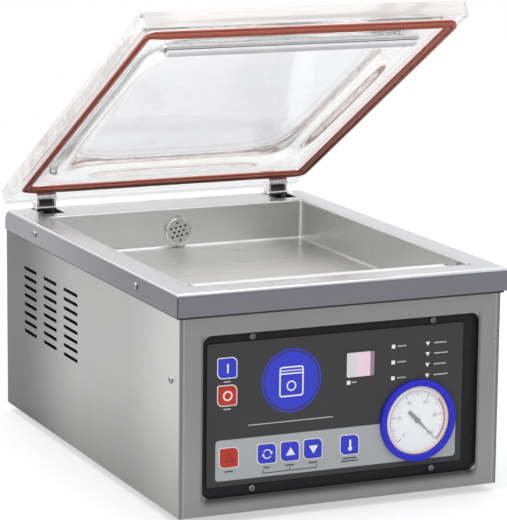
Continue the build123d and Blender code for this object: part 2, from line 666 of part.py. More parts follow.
def control_bezel():
    plate = box(WIN_X0 - 7, WIN_X1 + 7, PLATE_Y, PLATE_BACK, WIN_Z0 - 7, WIN_Z1 + 7)
    plate = cut_keys_and_display(plate)
    plate -= gauge_disc(PLATE_Y - 8, PLATE_Y + 8, 33.2)
    for x, z in BEZEL_SCREWS:
        plate -= cyl_y(PLATE_Y - 1, PLATE_Y + 3, x, z, 1.6)
    return plate


def label_plate():
    label = on_front(LABEL_X, LABEL_Z, PLATE_Y - 0.02) * extrude(
        RectangleRounded(LABEL_W, LABEL_H, 2.0), LABEL_T - 0.02)
    label = cut_keys_and_display(label)
    for x, z, sketch in lamp_shapes(grow=0.1):
        label -= on_front(x, z, PLATE_Y) * extrude(sketch, 4, both=True)
    label -= gauge_disc(PLATE_Y - 8, PLATE_Y + 8, 33.2)
    return label


def bezel_screws():
    screws = []
    for x, z in BEZEL_SCREWS:
        screw = cyl_y(PLATE_Y - 2.0, PLATE_Y - 0.05, x, z, 3.2)
        screw = fillet(edges_at(screw, Y=PLATE_Y - 2.0), 1.4)
        screw += cyl_y(PLATE_Y - 1.0, PLATE_Y + 8, x, z, 1.5)
        for half_x, half_z in ((2.2, 0.4), (0.4, 2.2)):
            screw -= box(x - half_x, x + half_x, PLATE_Y - 2.5, PLATE_Y - 1.3,
                         z - half_z, z + half_z)
        screws.append(screw)
    return group(*screws)


def indicator_lenses():
    return group(*[on_front(x, z, PLATE_Y - 0.05) * extrude(sketch, LABEL_T + 0.15)
                   for x, z, sketch in lamp_shapes()])


def key_cap(x, z):
    cap = on_front(x, z, KEY_BACK) * extrude(
        key_shape(KEY_SIZE, 4.4, 1.2), KEY_BACK - KEY_FRONT)
    return fillet(edges_at(cap, Y=KEY_FRONT), 0.6)


def display_window():
    face_y, back_y = LABEL_Y - 0.5, PLATE_BACK - 0.2
    window = on_front(DISPLAY_X, DISPLAY_Z, back_y) * extrude(
        RectangleRounded(DISPLAY_W - 0.2, DISPLAY_H - 0.2, 1.4), back_y - face_y)
    return fillet(edges_at(window, Y=face_y), 0.3)


def tact_switches():
    switches = []
    for x, z in KEYS.values():
        switch = box(x - 3, x + 3, BOARD_Y - 3.6, BOARD_Y - 0.05, z - 3, z + 3)
        switch += cyl_y(BOARD_Y - 4.5, BOARD_Y - 3.5, x, z, 1.7)
        switches.append(switch)
    return group(*switches)


def control_board():
    # circuit board and the display module in front of it
    board = box(WIN_X0 + 4, WIN_X0 + 172, BOARD_Y, BOARD_Y + 1.6, WIN_Z0 + 6, WIN_Z1 - 6)
    for z in (WIN_Z0 + 12, WIN_Z1 - 12):
        for x in (WIN_X0 + 10, WIN_X0 + 166):
            board -= cyl_y(BOARD_Y - 1, BOARD_Y + 3, x, z, 1.7)
    module = box(DISPLAY_X - 13, DISPLAY_X + 13, BOARD_Y - 5.6, BOARD_Y - 0.05,
                 DISPLAY_Z - 10, DISPLAY_Z + 10)
    return group(board, module)


def gauge_bezel_ring():
    face_y = LABEL_Y - 3.4
    ring = gauge_disc(face_y, LABEL_Y - 0.05, 38.4) - gauge_disc(face_y - 1, LABEL_Y + 1, 32.2)
    return fillet(edges_at(ring, Y=face_y), 1.2)


def gauge_case():
    case = gauge_disc(LABEL_Y, GAUGE_BACK, 33.0)
    case -= gauge_disc(LABEL_Y - 1, GAUGE_BACK - 2, 31.9)
    case += gauge_disc(GAUGE_BACK, GAUGE_BACK + 14, 5.0) + gauge_disc(
        GAUGE_BACK, GAUGE_BACK + 4, 9.0)
    case -= gauge_disc(GAUGE_BACK + 2, GAUGE_BACK + 15, 2.0)
    return case


def gauge_dial():
    return gauge_disc(LABEL_Y + 0.9, LABEL_Y + 1.7, 31.7) - gauge_disc(
        LABEL_Y, LABEL_Y + 3, 1.5)


def gauge_glass():
    glass = gauge_disc(LABEL_Y - 2.2, LABEL_Y - 0.8, 32.1)
    return fillet(edges_at(glass, Y=LABEL_Y - 2.2), 0.5)


# needle outline: distance along it from the spindle, distance across
NEEDLE_OUTLINE = [
    (25.5, 0.0), (5.0, 1.0), (0.0, 1.5), (-7.0, 1.9), (-12.5, 1.5),
    (-12.5, -1.5), (-7.0, -1.9), (0.0, -1.5), (5.0, -1.0),
]
NEEDLE_ANGLE = radians(-45)     # thin end towards the 4:30 position at rest


def gauge_needle():
    dir_x, dir_z = cos(NEEDLE_ANGLE), sin(NEEDLE_ANGLE)
    points = [(GAUGE_X + dir_x * along - dir_z * across, LABEL_Y + 0.45,
               GAUGE_Z + dir_z * along + dir_x * across) for along, across in NEEDLE_OUTLINE]
    needle = extrude(make_face(Polyline(*points, close=True)), 0.4, dir=(0, -1, 0))
    needle += gauge_disc(LABEL_Y - 0.5, LABEL_Y + 0.46, 2.6)
    needle += gauge_disc(LABEL_Y - 0.3, LABEL_Y + 8.0, 1.4)
    return needle


for key_name, key_place in KEYS.items():
    save(key_cap(*key_place), key_name)
save_all(control_bezel, label_plate, bezel_screws, indicator_lenses, display_window,
         tact_switches, control_board, gauge_bezel_ring, gauge_case, gauge_dial,
         gauge_glass, gauge_needle)


# ---- vacuum pump, motor with fan, exhaust filter ----

PUMP_X, PUMP_Z = PORT_X + 25.0, BASE_Z + 72.0   # shaft axis
INLET_Y = 150                       # pump inlet before the set is moved
PUMP_SHIFT = Pos(0, HOSE_Y - INLET_Y, 0)        # brings the inlet under the elbow
MOUNT_Z = BASE_Z + 1.6              # just above the base plate


def shaft_disc(y0, y1, radius):
    return cyl_y(y0, y1, PUMP_X, PUMP_Z, radius)


def pump_box(half_x, y0, y1, z0, z1):
    return box(PUMP_X - half_x, PUMP_X + half_x, y0, y1, z0, z1)


def pump_body():
    pump = pump_box(52, 60, 168, MOUNT_Z + 6, PUMP_Z + 52)
    pump = fillet([edge for edge in edges_along(pump, "Y") if (edge @ 0.5).Z > PUMP_Z], 12.0)
    for i in range(6):
        pump -= pump_box(60, 70 + i * 15, 77 + i * 15, PUMP_Z + 44, PUMP_Z + 60)
    pump += pump_box(40, 168, 186, MOUNT_Z + 12, PUMP_Z + 30)
    pump += pump_box(60, 72, 90, MOUNT_Z, MOUNT_Z + 8) + pump_box(
        60, 138, 156, MOUNT_Z, MOUNT_Z + 8)
    # inlet, filler hole, shaft hole, sight glass hole
    pump += cyl_z(PUMP_Z + 40, PUMP_Z + 66, PUMP_X - 25, INLET_Y, 10.0)
    pump -= cyl_z(PUMP_Z + 48, PUMP_Z + 67, PUMP_X - 25, INLET_Y, 7.5)
    pump -= cyl_z(PUMP_Z + 40, PUMP_Z + 67, PUMP_X + 20, 115, 8.0)
    pump -= shaft_disc(58, 74, 7.0)
    pump -= cyl_y(180, 190, PUMP_X + 18, PUMP_Z - 30, 9.2)
    return PUMP_SHIFT * pump


def oil_sight_glass():
    glass = cyl_y(180.2, 188.5, PUMP_X + 18, PUMP_Z - 30, 9.1)
    glass += cyl_y(186.05, 188.5, PUMP_X + 18, PUMP_Z - 30, 12.0)
    return PUMP_SHIFT * glass


def oil_filler_plug():
    shank = cyl_z(PUMP_Z + 41, PUMP_Z + 52.5, PUMP_X + 20, 115, 7.9)
    head = extrude(Pos(PUMP_X + 20, 115, PUMP_Z + 52.1) * RegularPolygon(11, 6), 8)
    return PUMP_SHIFT * (shank + head)


def pump_motor():
    motor = shaft_disc(-78, 59.9, 48.0)
    for angle in range(0, 360, 20):
        if abs(angle - 270) < 35:       # no fins over the foot
            continue
        motor += (Pos(PUMP_X, -12, PUMP_Z) * Rot(0, -angle, 0) * Pos(51, 0, 0)
                  * Box(9, 100, 2.4))
    motor += pump_box(34, -50, 30, MOUNT_Z, PUMP_Z - 40)
    motor += pump_box(26, -40, 20, PUMP_Z + 44, PUMP_Z + 74)
    motor -= shaft_disc(-80, 62, 7.0)
    return PUMP_SHIFT * motor


def motor_rotor():
    # shaft with the fan's hub and eight tilted blades
    rotor = shaft_disc(-100, 73, 6.9)
    rotor += shaft_disc(-99, -86, 14.0)
    for i in range(8):
        rotor += (Pos(PUMP_X, -92, PUMP_Z) * Rot(0, 45 * i, 0) * Pos(27, 0, 0)
                  * Rot(28, 0, 0) * Box(30, 2.0, 12))
    return PUMP_SHIFT * rotor


def fan_cowl():
    # cup with ring slots in its face, each broken by four bridges
    cowl = shaft_disc(-110, -78.1, 53.0) - shaft_disc(-108, -70, 50.5)
    for radius in (14, 24, 34):
        slot = shaft_disc(-112, -106, radius + 4) - shaft_disc(-112, -106, radius)
        for angle in (45, 135, 225, 315):
            slot -= (Pos(PUMP_X, -109, PUMP_Z) * Rot(0, angle, 0) * Pos(radius + 2, 0, 0)
                     * Box(14, 8, 6))
        cowl -= slot
    return PUMP_SHIFT * cowl


def exhaust_filter():
    # canister standing beside the pump
    bottom, top = BASE_Z + 30, BASE_Z + 140
    canister = cyl_z(bottom, top, PUMP_X - 100, 140, 24.0)
    canister = fillet(edges_where(canister, lambda mid: (
        abs(mid.Z - top) < 0.01 or abs(mid.Z - bottom) < 0.01)), 6.0)
    canister += cyl_x(PUMP_X - 80, PUMP_X - 52.2, 140, BASE_Z + 60, 9.0)
    canister += box(PUMP_X - 112, PUMP_X - 88, 128, 152, MOUNT_Z, BASE_Z + 34)
    return PUMP_SHIFT * canister


def suction_hose():
    # straight sleeve over the elbow's barb and the pump's inlet, with two clamps
    hose = cyl_z(PUMP_Z + 54, PORT_Z - 17, PORT_X, HOSE_Y, 12.9) - cyl_z(
        PUMP_Z + 50, PORT_Z - 10, PORT_X, HOSE_Y, 10.1)
    for z in (PUMP_Z + 61, PORT_Z - 23):
        hose += cyl_z(z - 4, z + 4, PORT_X, HOSE_Y, 14.2) - cyl_z(
            z - 5, z + 5, PORT_X, HOSE_Y, 12.5)
    return hose


save_all(pump_body, oil_sight_glass, oil_filler_plug, pump_motor, motor_rotor, fan_cowl,
         exhaust_filter, suction_hose)


# ---- transformer, valves, power inlet ----

def transformer_core():
    core = box(-128, -62, -150, -86, MOUNT_Z + 4, MOUNT_Z + 58)
    for x in (-118, -87):
        core = core - box(x, x + 15, -152, -84, MOUNT_Z + 14, MOUNT_Z + 48)
    core += box(-140, -50, -148, -88, MOUNT_Z, MOUNT_Z + 4)
    return core


def transformer_windings():
    return box(-117.8, -72.2, -160, -76, MOUNT_Z + 14.2, MOUNT_Z + 47.8) - box(
        -103.2, -86.8, -150.2, -85.8, MOUNT_Z + 13, MOUNT_Z + 49)


def solenoid_valves():
    valves = []
    for i in range(3):
        x = -120 + i * 34
        valve = box(x - 12, x + 12, 20, 56, BASE_Z + 20, BASE_Z + 42)
        valve += cyl_z(BASE_Z + 42, BASE_Z + 80, x, 38, 13.0)
        valve += cyl_y(10, 20, x, BASE_Z + 31, 5.0) + cyl_y(56, 66, x, BASE_Z + 31, 5.0)
        valve += box(x - 10, x + 10, 24, 52, MOUNT_Z, BASE_Z + 20)
        valves.append(valve)
    return group(*valves)


def inlet_body(y0, y1):
    return box(-130.8, -104, y0, y1, BASE_Z + 26.2, BASE_Z + 45.8)


def power_inlet():
    # socket in the rear panel with a flange outside and three pins
    recess = box(-127, -108, REAR_Y - 14, REAR_Y + 4, BASE_Z + 30, BASE_Z + 42)
    inlet = inlet_body(REAR_Y - 24, REAR_Y - 0.2) + box(
        -138, -97, REAR_Y + 0.05, REAR_Y + 2.5, BASE_Z + 22, BASE_Z + 50)
    inlet -= recess
    for x, z in ((-123.0, 33), (-117.5, 35), (-112.0, 33)):
        inlet += box(x - 0.8, x + 0.8, REAR_Y - 15, REAR_Y - 1, BASE_Z + z, BASE_Z + z + 4)
    # neck joining the body to the flange
    inlet += inlet_body(REAR_Y - 0.3, REAR_Y + 0.1) - recess
    return inlet


save_all(transformer_core, transformer_windings, solenoid_valves, power_inlet)


# ---- feet and casing screws ----

def rubber_feet():
    feet = []
    for x, y in FEET:
        foot = Pos(x, y, 0) * extrude(Circle(12.5), FOOT_H - 0.05, taper=6)
        foot += cyl_z(FOOT_H - 2, FOOT_H + 6, x, y, 2.15)
        feet.append(foot)
    return group(*feet)


def casing_screw():
    # pan head towards +Z, seat at z = 0, shank below
    screw = Pos(0, 0, 0.03 + 0.85) * Cylinder(3.5, 1.7)
    screw = fillet(edges_where(screw, lambda mid: mid.Z > 1.5), 1.2)
    screw += Pos(0, 0, -2.0) * Cylinder(1.95, 4.6)
    screw -= Pos(0, 0, 1.6) * Box(4.4, 0.8, 1.2)
    screw -= Pos(0, 0, 1.6) * Box(0.8, 4.4, 1.2)
    return screw


def casing_screws():
    places = [Pos(side * SIDE_X, SIDE_SCREW_Y, SIDE_SCREW_Z) * Rot(0, 90 * side, 0)
              for side in SIDES]
    places += [Pos(side * DECK_X, y, DECK_SCREW_Z) * Rot(0, 90 * side, 0)
               for side, y in DECK_SCREWS]
    places += [Pos(x, REAR_Y, z) * Rot(-90, 0, 0) for x, z in REAR_SCREWS]
    return group(*[place * casing_screw() for place in places])


save_all(rubber_feet, casing_screws)
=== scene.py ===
"""Looks of a chamber vacuum sealer with a clear lid standing open on its rear hinge.

The machine stands on z = 0 with its front towards -Y, +X to the right of someone facing it.
Shapes are drawn in millimetres and scaled to metres when built. The lid has its own frame:
x across, l from the hinge edge forward, n up through the sheet from its underside.
"""
import bpy
import bmesh
import math
from functools import cached_property
from mathutils import Vector, Matrix
from mathutils.geometry import tessellate_polygon


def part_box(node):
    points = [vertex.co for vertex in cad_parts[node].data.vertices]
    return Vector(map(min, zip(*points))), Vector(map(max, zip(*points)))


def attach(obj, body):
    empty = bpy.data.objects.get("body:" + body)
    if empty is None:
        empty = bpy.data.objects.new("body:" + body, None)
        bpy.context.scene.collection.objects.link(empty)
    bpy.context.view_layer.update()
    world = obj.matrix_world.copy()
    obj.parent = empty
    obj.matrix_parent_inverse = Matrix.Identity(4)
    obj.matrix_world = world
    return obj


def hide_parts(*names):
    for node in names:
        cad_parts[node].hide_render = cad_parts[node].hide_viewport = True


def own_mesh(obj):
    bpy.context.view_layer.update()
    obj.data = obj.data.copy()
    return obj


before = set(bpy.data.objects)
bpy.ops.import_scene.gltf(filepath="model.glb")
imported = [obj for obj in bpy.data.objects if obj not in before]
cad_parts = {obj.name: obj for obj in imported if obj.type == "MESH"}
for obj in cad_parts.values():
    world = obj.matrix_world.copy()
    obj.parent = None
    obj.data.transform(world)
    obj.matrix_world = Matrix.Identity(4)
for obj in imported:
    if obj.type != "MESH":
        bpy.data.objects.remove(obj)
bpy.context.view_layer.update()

MM = 0.001

# ---------------------------------------------------------------------------
# sizes shared by several pieces, in millimetres
# ---------------------------------------------------------------------------
LID_ANGLE = math.radians(30.26)
LID_COS, LID_SIN = math.cos(LID_ANGLE), math.sin(LID_ANGLE)
LID_Y, LID_Z = 229.0, 215.1                     # hinge edge of the underside
LID_HALF, LID_LENGTH, LID_THICK = 163.8, 440.4, 16.0
HOLLOW_HALF, HOLLOW_L0, HOLLOW_L1 = 133.0, 60.0, 382.0
HOLLOW_MID, HOLLOW_REACH = (HOLLOW_L0 + HOLLOW_L1) / 2, (HOLLOW_L1 - HOLLOW_L0) / 2
GASKET_HALF, GASKET_L0, GASKET_L1, GASKET_R = 152.5, 45.2, 427.1, 7.5    # centre line
COUNTER_BAR_L, COUNTER_BAR_HALF = 394.0, 130.0
DECK_Z = 213.5
ARM_X, ARM_WIDTH = 129.0, 20.5

# The label's centre and front face. Positions on it are (right, up) from that centre.
LABEL_X, LABEL_Y, LABEL_Z = -4.5, -226.9, 98.5
LABEL_CENTRE = (LABEL_X, LABEL_Z)
GAUGE_RIGHT, GAUGE_UP = 82.3, -23.1
GAUGE_CENTRE = (LABEL_X + GAUGE_RIGHT, LABEL_Z + GAUGE_UP)
KEY_SIZE = 17.0
KEYS = {
    "key_on": (-108.5, 42.8), "key_off": (-108.4, 17.7), "key_stop": (-106.2, -39.5),
    "key_set": (-69.2, -39.5), "key_up": (-46.2, -39.5), "key_down": (-23.4, -39.5),
    "key_temperature": (13.5, -39.5),
}
DISPLAY_RIGHT, DISPLAY_UP, DISPLAY_WIDTH, DISPLAY_HEIGHT = 23.2, 34.8, 28.0, 23.0


# ---------------------------------------------------------------------------
# node helpers
# ---------------------------------------------------------------------------
class Signal:
    """One output socket of a node. Arithmetic on it adds Math nodes."""

    def __init__(self, shader, socket):
        self.shader, self.socket = shader, socket

    def out(self, name):
        """Another output of the same node."""
        return Signal(self.shader, self.socket.node.outputs[name])

    def __add__(self, other):
        return self.shader.math("ADD", self, other)

    def __radd__(self, other):
        return self.shader.math("ADD", other, self)

    def __sub__(self, other):
        return self.shader.math("SUBTRACT", self, other)

    def __rsub__(self, other):
        return self.shader.math("SUBTRACT", other, self)

    def __mul__(self, other):
        return self.shader.math("MULTIPLY", self, other)

    def __rmul__(self, other):
        return self.shader.math("MULTIPLY", other, self)

    def __truediv__(self, other):
        return self.shader.math("DIVIDE", self, other)

    def __pow__(self, other):
        return self.shader.math("POWER", self, other)

    def __abs__(self):
        return self.shader.math("ABSOLUTE", self)

    def max(self, other):
        return self.shader.math("MAXIMUM", self, other)

    def swing(self, amount):
        """A 0..1 value turned into a swing either side of zero, of this full width."""
        return (self - 0.5) * amount

    def ramp(self, start, end, to=(0.0, 1.0), curve="LINEAR"):
        """Goes from to[0] to to[1] as the value goes from start to end, and holds outside."""
        return self.shader.node("MapRange", {
            "Value": self, "From Min": start, "From Max": end, "To Min": to[0], "To Max": to[1],
        }, interpolation_type=curve)

    def fade(self, start, end, to=(0.0, 1.0)):
        """A ramp with soft ends."""
        return self.ramp(start, end, to, "SMOOTHSTEP")


class Shader:
    """Builds one node tree. Inputs are Signals or plain values; None leaves the default."""

    def __init__(self, tree, output="OutputMaterial"):
        self.tree = tree
        tree.nodes.clear()
        self.output = tree.nodes.new("ShaderNode" + output)

    def put(self, socket, value):
        if value is None:
            return
        if isinstance(value, Signal):
            self.tree.links.new(value.socket, socket)
            return
        if isinstance(value, tuple) and len(value) == 3 and len(socket.default_value) == 4:
            value = (*value, 1.0)
        socket.default_value = value

    def node(self, kind, inputs=None, output=0, **settings):
        new = self.tree.nodes.new("ShaderNode" + kind)
        for key, value in settings.items():
            setattr(new, key, value)
        for key, value in (inputs or {}).items():
            self.put(new.inputs[key], value)
        return Signal(self, new.outputs[output])

    def finish(self, signal):
        self.put(self.output.inputs[0], signal)

    @cached_property
    def place(self):
        return self.node("TexCoord").out("Object")

    @cached_property
    def geometry(self):
        return self.node("NewGeometry")

    def xyz(self, vector=None):
        split = self.node("SeparateXYZ", {"Vector": vector or self.place})
        return [split.out(axis) for axis in "XYZ"]

    def stretched(self, scale, turn=(0, 0, 0), shift=(0, 0, 0)):
        return self.node("Mapping", {"Vector": self.place, "Scale": scale,
                                     "Rotation": turn, "Location": shift})

    def noise(self, scale=1.0, detail=2.0, roughness=0.5, distortion=0.0,
              stretch=None, turn=(0, 0, 0), shift=(0, 0, 0)):
        vector = self.stretched(stretch, turn, shift) if stretch else self.place
        return self.node("TexNoise", {"Vector": vector, "Scale": scale, "Detail": detail,
                                      "Roughness": roughness, "Distortion": distortion})

    def math(self, operation, a, b=0.0):
        return self.node("Math", {0: a, 1: b}, operation=operation)

    def between(self, factor, a, b):
        """The number a, going over to b as the factor goes to 1."""
        return a * (1.0 - factor) + b * factor

    def mix(self, factor, a, b, blend="MIX"):
        return self.node("Mix", {0: factor, 6: a, 7: b}, 2, data_type="RGBA", blend_type=blend)

    def multiply(self, colour, by):
        return self.mix(1.0, colour, by, "MULTIPLY")

    def dim(self, colour, level):
        """The colour times a grey level."""
        return self.multiply(colour, self.node("CombineColor", {0: level, 1: level, 2: level}))

    def vary(self, colour, pattern, amount):
        return self.dim(colour, 1.0 + pattern.swing(amount))

    def bump(self, height, strength, distance=0.0002, normal=None):
        return self.node("Bump", {"Height": height, "Strength": strength,
                                  "Distance": distance, "Normal": normal})

    def bevel(self, radius):
        return self.node("Bevel", {"Radius": radius}, samples=4)

    def bsdf(self, **inputs):
        named = {key.replace("_", " "): value for key, value in inputs.items()}
        return self.node("BsdfPrincipled", named)

    def blend(self, factor, a, b):
        """Mix of two shaders."""
        return self.node("MixShader", {0: factor, 1: a, 2: b})


MATERIALS = {}


def new_material(name):
    material = bpy.data.materials.new(name)
    material.use_nodes = True
    MATERIALS[name] = material
    return Shader(material.node_tree)


def lid_frame(mat):
    """x, l and n of the lid's frame, in metres; l and n are made when called for."""
    x, y, z = mat.xyz()
    hinge_y, hinge_z = LID_Y * MM, LID_Z * MM
    return (x, lambda: (y - hinge_y) * -LID_COS + (z - hinge_z) * LID_SIN,
            lambda: (y - hinge_y) * LID_SIN + (z - hinge_z) * LID_COS)


# ---------------------------------------------------------------------------
# brushed steel and its painted local light and shade; shading distances are in mm unless noted
# ---------------------------------------------------------------------------
def shade_side_panel(mat, colour):
    """Painted light and shade: dark towards the rear, bright towards the front, a little darker
    at the foot.
    """
    _, y, z = mat.xyz()
    level = y.fade(0.19, 0.02, to=(0.36, 1.0)) * y.fade(-0.10, -0.22, to=(1.0, 1.32))
    return mat.dim(colour, level * z.fade(0.02, 0.13, to=(0.88, 1.0)))


def shade_window_panel(mat, colour):
    """Painted shade: a soft dark band under the window and narrower ones up its sides, for a
    rolled window edge that is not modelled, and a painted reflection of rounded outer edges.
    """
    left, right, bottom, top = -137.5, 138.0, 23.2, 172.2
    panel_half = 160.0
    x, _, z = mat.xyz()
    # painted shade below the window and up its sides
    below = (bottom * MM - z) * 1000.0
    in_width = (x.fade((left - 4) * MM, (left + 6) * MM)
                * x.fade((right + 4) * MM, (right - 6) * MM))
    lower = below.fade(0.0, 9.5, to=(0.17, 1.0))
    lower = mat.between(in_width * below.ramp(-2.0, -0.5), 1.0, lower)
    beside = (abs(x - (left + right) / 2 * MM) - (right - left) / 2 * MM) * 1000.0
    in_height = (z.fade((bottom - 3) * MM, (bottom + 4) * MM)
                 * z.fade((top + 3) * MM, (top - 4) * MM))
    sides = mat.between(in_height * beside.ramp(-1.5, -0.5), 1.0,
                        beside.fade(0.0, 3.6, to=(0.55, 1.0)))
    colour = mat.dim(colour, lower * sides)
    # painted reflection of a rounded outer edge: a dark strip along each outer edge, with a
    # painted highlight line beside it
    from_edge = (panel_half * MM - abs(x)) * 1000.0
    strip = from_edge.fade(2.3, 3.2, to=(0.70, 1.0))
    line = abs(from_edge - 4.2).fade(0.35, 0.9, to=(1.22, 1.0))
    return mat.dim(colour, strip * line)


def shade_deck(mat, colour):
    """Painted shade on the front and left faces, painted shadow in the corner seams, and a
    painted highlight line and shade line round the rim.
    """
    normal_x, normal_y, _ = mat.xyz(mat.geometry.out("True Normal"))
    front = normal_y.ramp(-0.75, -0.95)
    left = normal_x.ramp(-0.75, -0.95)
    # painted shade: faces looking forward are dimmed with a blue tint
    colour = mat.mix(front, colour, mat.multiply(colour, (0.70, 0.70, 0.76)))
    forward = mat.xyz()[1].fade(0.14, -0.16, to=(1.0, 0.57))
    # shadow inside the open seam at each front corner
    x, y, z = mat.xyz()
    seam = abs(x).ramp(164.0 * MM, 164.12 * MM) * y.ramp(-234.9 * MM, -235.0 * MM)
    seam = seam * z.ramp(210.8 * MM, 210.4 * MM)
    colour = mat.mix(seam, colour, mat.multiply(colour, (0.30, 0.30, 0.32)))
    # painted shade: faces looking left are dimmed, more towards the front
    dimmed = mat.dim(mat.multiply(colour, (0.70, 0.70, 0.72)), forward)
    colour = mat.mix(left, colour, dimmed)
    # painted highlight and shade round the rim rectangle, on faces that look up: a light line, a
    # dark line, and slight dimming inside them
    rim_x, rim_y, rim_half_x, rim_half_y = -1.55, -25.95, 140.75, 183.45
    x, y, _ = mat.xyz()
    outside_x = abs(x - rim_x * MM) - rim_half_x * MM
    outside_y = abs(y - rim_y * MM) - rim_half_y * MM
    outside = outside_x.max(outside_y) * 1000.0
    painted_rim_highlight = abs(outside - 6.2).fade(0.3, 0.75, to=(1.0, 0.0))
    painted_rim_shade = abs(outside - 7.5).fade(0.3, 0.8, to=(1.0, 0.0))
    near = outside.fade(4.8, 6.0, to=(0.93, 1.0))
    facing_up = mat.xyz(mat.geometry.out("True Normal"))[2].ramp(0.9, 0.98)
    change = painted_rim_highlight * 0.12 + painted_rim_shade * -0.13
    return mat.dim(colour, 1.0 + (change + (near - 1.0)) * facing_up)


def shade_tub(mat, colour):
    """Painted shade: a little darker towards the right wall."""
    return mat.dim(colour, mat.xyz()[0].fade(0.05, 0.128, to=(1.0, 0.82)))


def brushed(name, base, rough, axis="X", streak=0.05, cloud=0.05, aniso=0.45, edge=0.0005,
            bump=0.05, shading=None):
    """Satin stainless steel: fine lines along axis, soft clouds, scratches, finger marks."""
    mat = new_material(name)

    def lines(along, across):
        return tuple(along if letter == axis else across for letter in "XYZ")

    fine = mat.noise(stretch=lines(9.0, 1500.0), detail=3.0, roughness=0.65)
    wide = mat.noise(stretch=lines(2.52, 420.0), shift=(3.1, 7.7, 1.3))
    clouds = mat.noise(scale=14.0, detail=4.0, roughness=0.55, distortion=0.4)
    marks = mat.noise(stretch=(38.0,) * 3, shift=(9.0, 2.0, 4.0),
                      detail=5.0, roughness=0.62, distortion=1.2)
    # sparse scratches: thin ridges of a stretched, tilted noise
    tilt = {"X": (0.0, 0.05, 0.12), "Y": (0.10, 0.0, 0.12)}[axis]
    ridges = mat.noise(stretch=lines(12.6, 450.0), turn=tilt, shift=(1.0, 5.0, 2.0), detail=0.0)
    ridges = abs(ridges - 0.5).ramp(0.0, 0.006, to=(1.0, 0.0))
    patches = mat.noise(stretch=(21.0,) * 3, shift=(4.0, 4.0, 9.0), detail=1.0)
    scratches = ridges * patches.ramp(0.60, 0.72)

    level = (fine.swing(streak * 1.6) + wide.swing(streak) + clouds.swing(cloud)
             + scratches * -0.10 + 1.0)
    colour = mat.dim(base, level)
    warmth = mat.mix(clouds.ramp(0.35, 0.65), (1.0, 1.0, 1.0), (1.0, 0.992, 0.975))
    colour = mat.multiply(colour, warmth)
    roughness = fine.swing(0.16) + rough + marks.swing(0.10)
    normal = mat.bump(fine * 0.7 + scratches * -0.8, bump, normal=mat.bevel(edge))

    # highlights stretch across the lines; the small offset keeps the tangent from vanishing
    direction = tuple(float(letter == axis) for letter in "XYZ")
    across = mat.node("VectorMath", {0: mat.geometry.out("Normal"), 1: direction},
                      operation="CROSS_PRODUCT")
    tangent = mat.node("VectorMath", {0: across, 1: (0.006, 0.012, 0.02)}, operation="ADD")
    if shading:
        colour = shading(mat, colour)
    mat.finish(mat.bsdf(Base_Color=colour, Metallic=1.0, Roughness=roughness,
                        Anisotropic=aniso, Normal=normal, Tangent=tangent))


# ---------------------------------------------------------------------------
# other material families
# ---------------------------------------------------------------------------
def plated(name, base, rough, spread, cloud, edge):
    """Polished or zinc-plated steel with faint mottling and handling marks."""
    mat = new_material(name)
    mottle = mat.noise(scale=60.0, detail=5.0, roughness=0.6, distortion=0.6)
    grain = mat.noise(scale=520.0, detail=3.0, roughness=0.6)
    mat.finish(mat.bsdf(
        Base_Color=mat.vary(base, mottle, cloud * 2), Metallic=1.0,
        Roughness=rough + mottle.swing(spread) + grain.swing(spread * 0.5),
        Normal=mat.bump(grain, 0.04, normal=mat.bevel(edge))))


def plastic(name, base, rough, grain, bump, variation, coat=0.0, edge=0.0003):
    """Moulded plastic or film: fine grain, slight colour drift, dust in scattered patches.

    The base is a colour, or a function that makes one in the material's tree.
    """
    mat = new_material(name)
    if callable(base):
        base = base(mat)
    skin = mat.noise(scale=grain, detail=3.0, roughness=0.6)
    drift = mat.noise(scale=45.0, detail=4.0, roughness=0.6, distortion=0.3)
    colour = mat.vary(base, drift, variation * 2)
    dust = mat.noise(scale=260.0, detail=2.0, roughness=0.7).ramp(0.62, 0.80, to=(0.0, 0.06))
    colour = mat.mix(dust, colour, (0.5, 0.48, 0.45))
    bevel = mat.bevel(edge) if edge else None
    mat.finish(mat.bsdf(
        Base_Color=colour, Roughness=rough + drift.swing(0.14),
        Normal=mat.bump(skin, bump, normal=bevel), Coat_Weight=coat, Coat_Roughness=0.15))


def display_colour(mat):
    """Pink filter, grey in its left part, with a painted shadow over its right end."""
    x = mat.xyz()[0] - (LABEL_X + DISPLAY_RIGHT) * MM
    colour = mat.mix(x.fade(-0.0056, -0.0040), (0.62, 0.62, 0.61), (0.80, 0.57, 0.66))
    # painted shadow over the right end of the filter
    return mat.mix(x.fade(0.0088, 0.0104), colour, (0.30, 0.20, 0.25))


